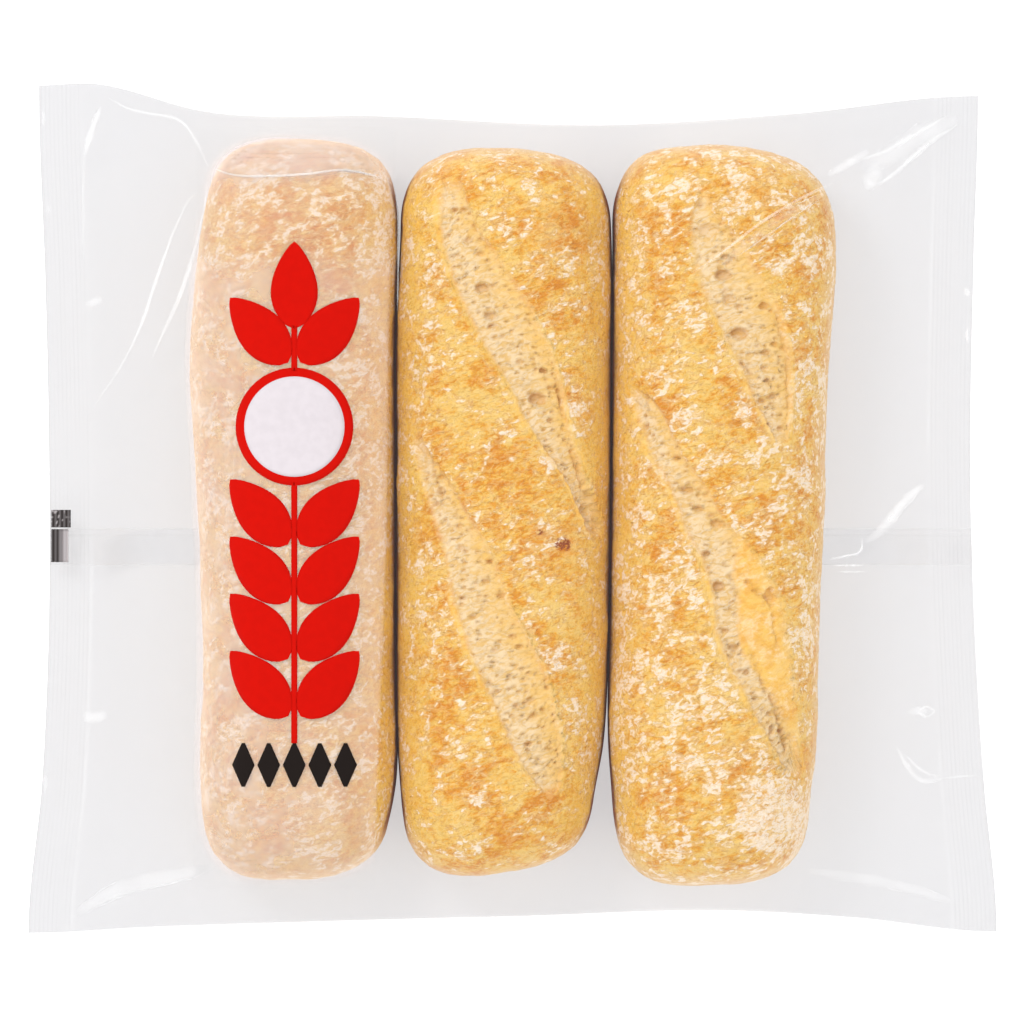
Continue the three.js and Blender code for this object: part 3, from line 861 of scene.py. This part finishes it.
# The milky field: its right edge as (y, x), how far it reaches beyond the left loaf's outer side, and
# its half length.
MILKY_EDGE = ((-112, -41), (-103, -40.6), (-63.7, -39.1), (-39.8, -38.2), (-15.7, -37.3), (62, -36.1),
              (98, -35), (117, -35))
MILKY_BEYOND = 1.5
MILKY_REACH = 114
MILKY_LATTICE = (60, 220)


def grain_place(x, y, turn):
    """A grain's outline: pointed at its tip and round at its foot."""
    def place(across, along):
        share = (along + 1) / 2
        half = GRAIN_WIDTH / 2 * np.sin(math.pi * share ** 0.8) ** 0.75
        ahead, aside = share * GRAIN_LENGTH, across * half
        return (x + ahead * math.sin(turn) + aside * math.cos(turn),
                y + ahead * math.cos(turn) - aside * math.sin(turn))
    return place


def disc_place(x, y, radius):
    """A round: the lattice's squares swell into rings."""
    def place(across, along):
        ring = np.maximum(np.abs(across), np.abs(along))
        far = np.maximum(np.hypot(across, along), 1e-9)
        return x + radius * ring * across / far, y + radius * ring * along / far
    return place


def strip_place(x0, x1, y0, y1, pinch=0.0):
    """A rectangle, or with a pinch of 1 a lozenge."""
    def place(across, along):
        narrow = 1 - pinch * np.abs(along)
        return ((x0 + x1) / 2 + across * narrow * (x1 - x0) / 2, (y0 + y1) / 2 + along * (y1 - y0) / 2)
    return place


def milky_place(across, along):
    """The milky field: from the left loaf's outer side to an edge near its inner side."""
    y = along * MILKY_REACH
    right = through(*np.array(MILKY_EDGE, float).T, y)
    left = through(*np.array(LOAVES[0]["sides"], float)[:, :2].T, y) - MILKY_BEYOND
    return (left + right) / 2 + across * (right - left) / 2, y


def milkiness(x, y):
    """How thick the milky ink lies: it thins to the right and over the toasted end, is thickest past
    the crease there, and runs out over the empty film."""
    across, reach = loaf_frame(LOAVES[0], x, y)
    right = through(*np.array(MILKY_EDGE, float).T, y)
    over_toasted = smoothstep(70, 78, y) * smoothstep(100, 92, y)
    drawn = 0.9 - 0.25 * across - 0.35 * over_toasted + 0.4 * smoothstep(97, 101, y)
    return (drawn * smoothstep(1.25, 0.9, reach) * smoothstep(0.2, 1.2, right - x)
            * smoothstep(MILKY_REACH, MILKY_REACH - 4, np.abs(y)))


def red_shapes():
    """The red ink: an ear of grain with a stem, and the ring round the white disc."""
    middle, turn, half = EAR_MIDDLE, math.radians(EAR_SPREAD), STEM_WIDTH / 2
    for y in EAR_PAIRS:
        for side in (-1, 1):
            yield *GRAIN_LATTICE, grain_place(middle + side * STEM_WIDTH, y, side * turn)
    yield *GRAIN_LATTICE, grain_place(middle, EAR_TIP - GRAIN_LENGTH, 0)
    x, y, radius = ROUNDEL
    yield 2, 60, strip_place(middle - half, middle + half, EAR_FOOT, y - radius + 1)
    yield 2, 20, strip_place(middle - half, middle + half, y + radius - 1, EAR_TIP - GRAIN_LENGTH + 1)
    yield *ROUNDEL_LATTICE, disc_place(x, y, radius)


def black_shapes():
    """The black ink: a short row of lozenges below the ear."""
    for k in range(-2, 3):
        x = EAR_MIDDLE + k * ROW_PITCH
        yield 4, 8, strip_place(x - ROW_WIDTH / 2, x + ROW_WIDTH / 2, *ROW, pinch=0.85)


def joined(shapes, low, high):
    """One mesh of several flat shapes laid on the film."""
    bm = bmesh.new()
    for columns, rows, place in shapes:
        part = moved_mesh("part", block(columns, rows), on_film(place, low, high))
        bm.from_mesh(part)
        bpy.data.meshes.remove(part)
    mesh = bpy.data.meshes.new("joined")
    bmesh.ops.recalc_face_normals(bm, faces=bm.faces)
    bm.to_mesh(mesh)
    bm.free()
    mesh.polygons.foreach_set("use_smooth", [True] * len(mesh.polygons))
    return mesh


# ---- Materials -------------------------------------------------------------------------------

def add_node(tree, kind, inputs=None, **settings):
    """Adds a node, sets it, and gives each input a value or a link."""
    node = tree.nodes.new(kind)
    for name, value in settings.items():
        setattr(node, name, value)
    for name, value in (inputs or {}).items():
        if isinstance(value, bpy.types.NodeSocket):
            tree.links.new(value, node.inputs[name])
        else:
            node.inputs[name].default_value = value
    return node


def math_node(tree, operation, *values, clamp=False):
    inputs = dict(enumerate(values))
    return add_node(tree, "ShaderNodeMath", inputs, operation=operation, use_clamp=clamp).outputs[0]


def mix_colour(tree, share, first, second):
    """Mixes two colours, each a link or a plain colour."""
    node = add_node(tree, "ShaderNodeMix", data_type="RGBA")
    for index, value in ((0, share), (6, first), (7, second)):
        if isinstance(value, bpy.types.NodeSocket):
            tree.links.new(value, node.inputs[index])
        else:
            node.inputs[index].default_value = value if index == 0 else (*value, 1)
    return node.outputs[2]


def ranged(tree, value, low, high, to_low=0.0, to_high=1.0):
    inputs = {"Value": value, "From Min": low, "From Max": high, "To Min": to_low, "To Max": to_high}
    return add_node(tree, "ShaderNodeMapRange", inputs, interpolation_type="SMOOTHSTEP").outputs[0]


def grain(tree, place, size, detail=2.0, roughness=0.5, distortion=0.0):
    """Noise whose lumps measure about that size in metres."""
    inputs = {"Vector": place, "Scale": 1 / size, "Detail": detail, "Roughness": roughness,
              "Distortion": distortion}
    return add_node(tree, "ShaderNodeTexNoise", inputs).outputs["Fac"]


def painted(tree, name):
    return add_node(tree, "ShaderNodeAttribute", attribute_name=name).outputs["Fac"]


def new_material(name):
    material = bpy.data.materials.new(name)
    material.use_nodes = True
    tree = material.node_tree
    tree.nodes.clear()
    return material, tree, add_node(tree, "ShaderNodeOutputMaterial")


def drawn_out(tree, place, angle, long, short):
    """Coordinates that draw a pattern out along a direction, long and short being its stretches."""
    inputs = {"Vector": place, "Rotation": (0, 0, angle), "Scale": (long, short, (long * short) ** 0.5)}
    return add_node(tree, "ShaderNodeMapping", inputs, vector_type="TEXTURE").outputs[0]


def times(tree, first, second, clamp=False):
    return math_node(tree, "MULTIPLY", first, second, clamp=clamp)


def crumb_colour(tree, loaf, place):
    """The open crumb's colour with painted shade in its pores, and the strands that it is drawn from."""
    strand = grain(tree, place, 2.0 * MM, 4, 0.62, 1.2)
    pit_shade = ranged(tree, grain(tree, place, 1.0 * MM, 1.5, 0.5, 0.8), 0.66, 0.74)
    colour = mix_colour(tree, ranged(tree, strand, 0.36, 0.6), loaf.shade, loaf.crumb)
    colour = mix_colour(tree, painted(tree, "skin"), colour, loaf.lip)
    shaded_pits = math_node(tree, "MULTIPLY_ADD", painted(tree, "shaded_pits"), 0.5, times(tree, pit_shade, 0.18))
    return mix_colour(tree, math_node(tree, "MINIMUM", shaded_pits, 0.85), colour, loaf.pit_shade), strand


def crust_material(loaf):
    """Part-baked crust: mottled gold, wrinkled, with flour, toasted spots and open crumb."""
    material, tree, output = new_material("crust")
    place = add_node(tree, "ShaderNodeTexCoord").outputs["Object"]
    wrinkled = drawn_out(tree, place, 0.3, 1.35, 0.8)
    crumb = painted(tree, "crumb")
    crumb_tone, strand = crumb_colour(tree, loaf, drawn_out(tree, place, 0.3, 1.6, 0.75))
    crust = math_node(tree, "SUBTRACT", 1.0, crumb)
    smooth = math_node(tree, "SUBTRACT", 1.0, painted(tree, "lips"), clamp=True)
    plain = times(tree, crust, smooth, clamp=True)

    broad = grain(tree, place, 13 * MM, 2)
    mottle = grain(tree, wrinkled, 3.6 * MM, 4, 0.6, 0.8)
    fine = grain(tree, wrinkled, 0.8 * MM, 2, 0.6, 0.4)
    scale = grain(tree, wrinkled, 1.7 * MM, 3, 0.62, 1.0)
    flake = grain(tree, wrinkled, 2.1 * MM, 2, 0.5, 0.5)
    ridged = grain(tree, drawn_out(tree, place, 0.75, 2.2, 0.7), 2.4 * MM, 2, 0.5, 0.4)
    clusters = grain(tree, place, 7 * MM, 2.5, 0.55, 0.5)
    clusters = math_node(tree, "MULTIPLY_ADD", painted(tree, "flour"), 0.3, clusters)
    amount = math_node(tree, "ADD", clusters, flake)
    flaky = ranged(tree, clusters, 0.58, 0.78, 0.45, 1.0)

    tone = math_node(tree, "MULTIPLY_ADD", fine, 0.25, times(tree, mottle, 0.5))
    tone = math_node(tree, "MULTIPLY_ADD", broad, 0.45, tone)
    toast = times(tree, painted(tree, "toast"), ranged(tree, mottle, 0.35, 0.65, 0.35, 1.0), clamp=True)
    brown = math_node(tree, "MAXIMUM", toast, ranged(tree, tone, 0.57, 0.74, 0, 0.9))
    # Sides that face another loaf: partly paler crust, partly painted light lifting their shade.
    paler = times(tree, painted(tree, "side"), 0.75)
    haze = times(tree, ranged(tree, scale, 0.48, 0.62, 0, 0.7), flaky)
    # Painted shade in the crust's low spots, where the relief's noise is lowest.
    crease = times(tree, ranged(tree, scale, 0.5, 0.36), ranged(tree, fine, 0.6, 0.35, 0.25, 0.9))
    lip = times(tree, painted(tree, "lips"), 0.7, clamp=True)
    bloom = times(tree, painted(tree, "bloom"), ranged(tree, scale, 0.35, 0.6, 0.45, 0.95))
    halo = times(tree, ranged(tree, amount, 1.1, 1.3, 0, 0.5), crust, clamp=True)
    # Painted shadow: a thin dark outline just outside each flour fleck.
    rim = math_node(
        tree, "SUBTRACT", ranged(tree, amount, 1.2, 1.265), ranged(tree, amount, 1.265, 1.3))
    rim = times(tree, times(tree, rim, 0.35), plain, clamp=True)
    caked = times(
        tree, ranged(tree, painted(tree, "flour"), 1.0, 1.4), ranged(tree, ridged, 0.42, 0.54))
    fleck = math_node(tree, "MAXIMUM", ranged(tree, amount, 1.27, 1.38), caked)
    fleck = times(tree, fleck, ranged(tree, scale, 0.4, 0.53, 0.2, 1.0))
    fleck = times(tree, times(tree, fleck, ranged(tree, fine, 0.36, 0.52, 0.5, 1.0)), plain)
    scorch = times(tree, ranged(tree, painted(tree, "toast"), 1.1, 2.0), ranged(tree, fine, 0.6, 0.45))

    # Each layer hides the ones before it by its share.
    colour = mix_colour(tree, ranged(tree, tone, 0.5, 0.66), loaf.pale, loaf.golden)
    # Among these layers, the wrinkle and fleck-outline layers and the dark one where loaves touch are
    # painted shade, and the paler sides partly painted light.
    for share, layer in (
            (brown, loaf.toasted), (paler, loaf.side), (haze, loaf.dusting),
            (times(tree, crease, flaky), loaf.crease), (lip, loaf.lip), (crumb, crumb_tone),
            (bloom, loaf.bloom), (halo, loaf.dusting), (rim, loaf.crease), (fleck, loaf.flour),
            (scorch, loaf.scorch), (painted(tree, "gap_shade"), loaf.gap_shade)):
        colour = mix_colour(tree, share, colour, layer)

    height = math_node(tree, "MULTIPLY_ADD", scale, 1.5, times(tree, fine, 0.8))
    height = times(tree, height, smooth)
    height = add_node(tree, "ShaderNodeMix", {0: crumb, 2: height, 3: times(tree, strand, 1.2)}).outputs[0]
    relief = {"Height": height, "Strength": 1.0, "Distance": 0.6 * MM}
    bump = add_node(tree, "ShaderNodeBump", relief).outputs[0]
    shader = add_node(tree, "ShaderNodeBsdfPrincipled", {
        "Base Color": colour, "Roughness": 0.7, "Specular IOR Level": 0.25, "Normal": bump})
    tree.links.new(shader.outputs[0], output.inputs[0])
    return material


def outer_share(tree, share):
    """That share on the outside of a sheet and none on its inside, so each sheet counts once."""
    inside = add_node(tree, "ShaderNodeNewGeometry").outputs["Backfacing"]
    return times(tree, share, math_node(tree, "SUBTRACT", 1.0, inside), clamp=True)


def clear_film(name, film, tint, whitening_and_glint=1.0, both_sides=False):
    """Film: mostly clear, mirroring more at a slant, and white where it is creased or crimped, partly as
    painted highlight, and darker where painted with shade.
    """
    material, tree, output = new_material(name)
    fresnel = add_node(tree, "ShaderNodeFresnel", {"IOR": film.index}).outputs[0]
    share = math_node(tree, "MULTIPLY_ADD", fresnel, film.gloss, film.haze)
    # Painted highlight: the white share stands in for glints on creases and rib crests, besides the film's
    # own whitening.
    crimped = times(tree, painted(tree, "white"), whitening_and_glint, clamp=True)
    if not both_sides:
        share, crimped = outer_share(tree, share), outer_share(tree, crimped)
    seen = add_node(tree, "ShaderNodeLightPath").outputs["Is Camera Ray"]
    # Painted shade: the tint is darker where the ribs' valleys and the cut edge are painted dark.
    tint_with_painted_shade = mix_colour(tree, painted(tree, "dark"), tint, [0.8 * part for part in tint])
    tinted = mix_colour(tree, seen, (1, 1, 1), tint_with_painted_shade)
    clear = add_node(tree, "ShaderNodeBsdfTransparent", {"Color": tinted}).outputs[0]
    gloss = add_node(tree, "ShaderNodeBsdfGlossy", {"Color": (1, 1, 1, 1), "Roughness": 0.12}).outputs[0]
    white = add_node(tree, "ShaderNodeBsdfDiffuse", {"Color": (1, 1, 1, 1)}).outputs[0]
    mixed = add_node(tree, "ShaderNodeMixShader", {0: share, 1: clear, 2: gloss}).outputs[0]
    mixed = add_node(tree, "ShaderNodeMixShader", {0: crimped, 1: mixed, 2: white}).outputs[0]
    tree.links.new(mixed, output.inputs[0])
    return material


def milky_ink(inks):
    """Thin white ink with soft edges: the loaf shows through it."""
    material, tree, output = new_material("milky_ink")
    place = add_node(tree, "ShaderNodeTexCoord").outputs["Object"]
    blotch = ranged(tree, grain(tree, place, 9 * MM, 2), 0.3, 0.7, 0.85, 1.1)
    laid = times(tree, painted(tree, "white"), inks.milkiness)
    share = outer_share(tree, times(tree, laid, blotch))
    clear = add_node(tree, "ShaderNodeBsdfTransparent").outputs[0]
    white = add_node(tree, "ShaderNodeBsdfDiffuse", {"Color": (*inks.milk, 1)}).outputs[0]
    mixed = add_node(tree, "ShaderNodeMixShader", {0: share, 1: clear, 2: white}).outputs[0]
    tree.links.new(mixed, output.inputs[0])
    return material


def uneven_ink():
    """The node group that the opaque inks share: a colour that turns darker in small lumps."""
    group = bpy.data.node_groups.get("uneven_ink")
    if group:
        return group
    group = bpy.data.node_groups.new("uneven_ink", "ShaderNodeTree")
    for name, kind in (("Place", "NodeSocketVector"), ("Scale", "NodeSocketFloat"),
                       ("Colour", "NodeSocketColor"), ("Darker", "NodeSocketColor")):
        group.interface.new_socket(name, in_out="INPUT", socket_type=kind)
    group.interface.new_socket("Colour", in_out="OUTPUT", socket_type="NodeSocketColor")
    given = add_node(group, "NodeGroupInput").outputs
    pattern = {"Vector": given["Place"], "Scale": given["Scale"], "Detail": 3.0, "Roughness": 0.5}
    uneven = ranged(group, add_node(group, "ShaderNodeTexNoise", pattern).outputs["Fac"], 0.3, 0.7)
    mixed = mix_colour(group, uneven, given["Colour"], given["Darker"])
    add_node(group, "NodeGroupOutput", {"Colour": mixed})
    return group


def printed_ink(name, colour, worn_and_rib_lit):
    """Opaque ink with the film's own gloss and a faint unevenness."""
    material, tree, output = new_material(name)
    place = add_node(tree, "ShaderNodeTexCoord").outputs["Object"]
    darker = (*(0.95 * part for part in colour), 1)
    shades = {"Place": place, "Scale": 1 / (2.5 * MM), "Colour": (*colour, 1), "Darker": darker}
    tone = add_node(tree, "ShaderNodeGroup", shades, node_tree=uneven_ink()).outputs["Colour"]
    tone = mix_colour(tree, painted(tree, "worn_and_rib_lit"), tone, worn_and_rib_lit)
    shader = add_node(tree, "ShaderNodeBsdfPrincipled", {
        "Base Color": tone, "Roughness": 0.45, "Specular IOR Level": 0.05})
    tree.links.new(shader.outputs[0], output.inputs[0])
    return material


# ---- Operators -------------------------------------------------------------------------------

class BAG_OT_loaves(bpy.types.Operator):
    """Make the three baguettes"""
    bl_idname = "bag.loaves"
    bl_label = "Loaves"

    def execute(self, context):
        settings = context.scene.bag_loaf
        material = crust_material(settings)
        for loaf in LOAVES:
            add_loaf(loaf, settings, material)
        return {"FINISHED"}


class BAG_OT_film(bpy.types.Operator):
    """Make the tube of film with its crimped ends"""
    bl_idname = "bag.film"
    bl_label = "Film"

    def execute(self, context):
        drape, settings = film_drape(), context.scene.bag_film
        mesh = moved_mesh("film", block(len(drape.u) - 1, len(drape.v) - 1), film_place)
        for name, values in zip(("white", "dark"), crimp_glints_and_shade(mesh)):
            paint(mesh, name, values)
        film = add_piece("film", mesh, clear_film("film", settings, settings.tint))
        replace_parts(film, SOLID)
        return {"FINISHED"}


class BAG_OT_seam(bpy.types.Operator):
    """Make the back seam that shows through the film"""
    bl_idname = "bag.seam"
    bl_label = "Back seam"

    def execute(self, context):
        settings = context.scene.bag_film
        mesh = moved_mesh("back_seam", sheet(len(film_drape().u) - 1, SEAM_ROWS), seam_place)
        across = (read_points(mesh)[:, 1] / MM - SEAM_MIDDLE) / SEAM_WIDTH * 2
        edges = 0.12 * smoothstep(0.9, 0.97, np.abs(across))
        weld = 0.08 * np.exp(-((across - 0.62) / 0.06) ** 2)
        white, dark = crimp_glints_and_shade(mesh)
        paint(mesh, "white", edges + weld + white)
        paint(mesh, "dark", 2 * dark)
        material = clear_film("seam_film", settings, settings.seam_tint, both_sides=True)
        add_piece("back_seam", mesh, material)
        return {"FINISHED"}


class BAG_OT_creases(bpy.types.Operator):
    """Make the film's sharp creases, white partly from stress whitening and partly as painted glints and
    sheens
    """
    bl_idname = "bag.creases"
    bl_label = "Creases"

    def execute(self, context):
        bm = bmesh.new()
        white = []
        for points, half_width, height, whitening_and_glint in CREASES:
            ridge = block(*CREASE_LATTICE)
            cube = np.array([corner.co for corner in ridge.verts])
            broken = 0.8 + 0.5 * lumps(cube, (9, 0.3, 9), points[0][0])
            fade = (1 - cube[:, 0] ** 2) * (1 - cube[:, 1] ** 4) * broken
            white.extend(CREASE_WHITENING_AND_GLINT * whitening_and_glint * np.clip(fade, 0, 1))
            part = moved_mesh("part", ridge, crease_place(points, half_width, height))
            bm.from_mesh(part)
            bpy.data.meshes.remove(part)
        mesh = bpy.data.meshes.new("creases")
        bm.to_mesh(mesh)
        bm.free()
        paint(mesh, "white", white)
        settings = context.scene.bag_film
        add_piece("film_creases", mesh, clear_film("crease_film", settings, (1, 1, 1), 0.9))
        return {"FINISHED"}


class BAG_OT_print(bpy.types.Operator):
    """Print the film: a milky field, a red ear of grain, a white disc and a black row"""
    bl_idname = "bag.print"
    bl_label = "Print"

    def execute(self, context):
        inks = context.scene.bag_print
        mesh = moved_mesh("milky_field", block(*MILKY_LATTICE), on_film(milky_place, *MILK_LEVELS))
        points = read_points(mesh) / MM
        paint(mesh, "white", milkiness(points[:, 0], points[:, 1]))
        add_piece("milky_field", mesh, milky_ink(inks))
        red = printed_ink("red_ink", inks.red, inks.worn_and_rib_lit)
        add_piece("print_ear", joined(red_shapes(), *INK_LEVELS), red)
        x, y, radius = ROUNDEL
        disc = [(*ROUNDEL_LATTICE, disc_place(x, y, radius - ROUNDEL_BORDER))]
        white = printed_ink("white_ink", inks.white, inks.worn_and_rib_lit)
        add_piece("print_disc", joined(disc, *DISC_LEVELS), white)
        black = printed_ink("black_ink", inks.black, inks.worn_and_rib_lit)
        add_piece("print_row", joined(black_shapes(), *INK_LEVELS), black)
        return {"FINISHED"}


class BAG_OT_mark(bpy.types.Operator):
    """Print the small black mark on the left end seal"""
    bl_idname = "bag.mark"
    bl_label = "Seal mark"

    def execute(self, context):
        inks = context.scene.bag_print
        blocks = [(*MARK_LATTICE, strip_place(*sides)) for sides in SEAL_MARK]
        mesh = joined(blocks, *MARK_LEVELS)
        points = read_points(mesh) / MM
        ribs = np.cos(2 * math.pi * (points[:, 0] - SEAL_MARK[0][0]) / RIB_PITCH)
        faded = smoothstep(-137, -133.5, points[:, 0]) * smoothstep(-6, -7, points[:, 1])
        specks = smoothstep(0.25, 0.5, lumps(points, 1.1, 3)) * smoothstep(-6.5, -5.5, points[:, 1])
        # Worn, faded and speckled ink, plus painted highlight on the rib crests and painted shade between
        # them.
        paint(mesh, "worn_and_rib_lit", np.clip(0.1 + 0.08 * ribs + 0.6 * faded + 0.45 * specks, 0, 1))
        add_piece("seal_mark", mesh, printed_ink("mark_ink", inks.black, inks.worn_and_rib_lit))
        return {"FINISHED"}


class BAG_OT_stage(bpy.types.Operator):
    """Set up the floor, the lights and the camera"""
    bl_idname = "bag.stage"
    bl_label = "Stage"

    def execute(self, context):
        scene, stage = context.scene, context.scene.bag_stage
        bm = bmesh.new()
        bmesh.ops.create_grid(bm, x_segments=1, y_segments=1, size=FLOOR_SIZE)
        mesh = bpy.data.meshes.new("floor")
        bm.to_mesh(mesh)
        bm.free()
        floor = bpy.data.objects.new("floor", mesh)
        scene.collection.objects.link(floor)
        material, tree, output = new_material("floor")
        shader = add_node(tree, "ShaderNodeBsdfPrincipled", {
            "Base Color": (*stage.floor, 1), "Roughness": 1.0, "Specular IOR Level": 0.0,
            "Emission Color": (1, 1, 1, 1), "Emission Strength": stage.glow})
        tree.links.new(shader.outputs[0], output.inputs[0])
        mesh.materials.append(material)

        world = bpy.data.worlds.new("studio")
        world.use_nodes = True
        background = world.node_tree.nodes["Background"]
        background.inputs["Color"].default_value = (1, 1, 1, 1)
        background.inputs["Strength"].default_value = stage.ambient
        scene.world = world
        add_light("key", LAMP_PLACE, LAMP_SIZE, stage.key)

        camera = bpy.data.cameras.new("camera")
        camera.sensor_width = 36
        camera.lens = camera.sensor_width * stage.distance / stage.width
        camera.clip_end = 20
        seat = bpy.data.objects.new("camera", camera)
        seat.location = (*stage.centre, stage.distance + SHARP_HEIGHT)
        scene.collection.objects.link(seat)
        scene.camera = seat
        scene.view_settings.view_transform = "Standard"
        return {"FINISHED"}


def add_light(name, place, size, power):
    """A square lamp that looks at the middle of the bag."""
    lamp = bpy.data.lights.new(name, "AREA")
    lamp.size = size
    lamp.energy = power
    holder = bpy.data.objects.new(name, lamp)
    holder.visible_glossy = False
    holder.location = place
    holder.rotation_euler = (-holder.location).to_track_quat("-Z", "Y").to_euler()
    bpy.context.scene.collection.objects.link(holder)


class BAG_PT_panel(bpy.types.Panel):
    """Lists what makes the bag, and its settings"""
    bl_label = "Bag of Baguettes"
    bl_space_type = "VIEW_3D"
    bl_region_type = "UI"
    bl_category = "Bag"

    def draw(self, context):
        for operator in OPERATORS:
            self.layout.operator(operator.bl_idname)
        for name, group in SETTINGS.items():
            column = self.layout.column()
            for key in group.__annotations__:
                column.prop(getattr(context.scene, name), key)


OPERATORS = (BAG_OT_loaves, BAG_OT_film, BAG_OT_seam, BAG_OT_creases, BAG_OT_print, BAG_OT_mark,
             BAG_OT_stage)
SETTINGS = {
    "bag_loaf": BagLoafSettings,
    "bag_film": BagFilmSettings,
    "bag_print": BagPrintSettings,
    "bag_stage": BagStageSettings,
}


def register():
    for kind in (*SETTINGS.values(), *OPERATORS, BAG_PT_panel):
        bpy.utils.register_class(kind)
    for name, group in SETTINGS.items():
        setattr(bpy.types.Scene, name, bpy.props.PointerProperty(type=group))


def unregister():
    for name in SETTINGS:
        delattr(bpy.types.Scene, name)
    for kind in reversed((*SETTINGS.values(), *OPERATORS, BAG_PT_panel)):
        bpy.utils.unregister_class(kind)


def main():
    register()
    bpy.ops.bag.stage()
    bpy.ops.bag.loaves()
    bpy.ops.bag.film()
    bpy.ops.bag.seam()
    bpy.ops.bag.creases()
    bpy.ops.bag.print()
    bpy.ops.bag.mark()


if __name__ == "__main__":
    main()
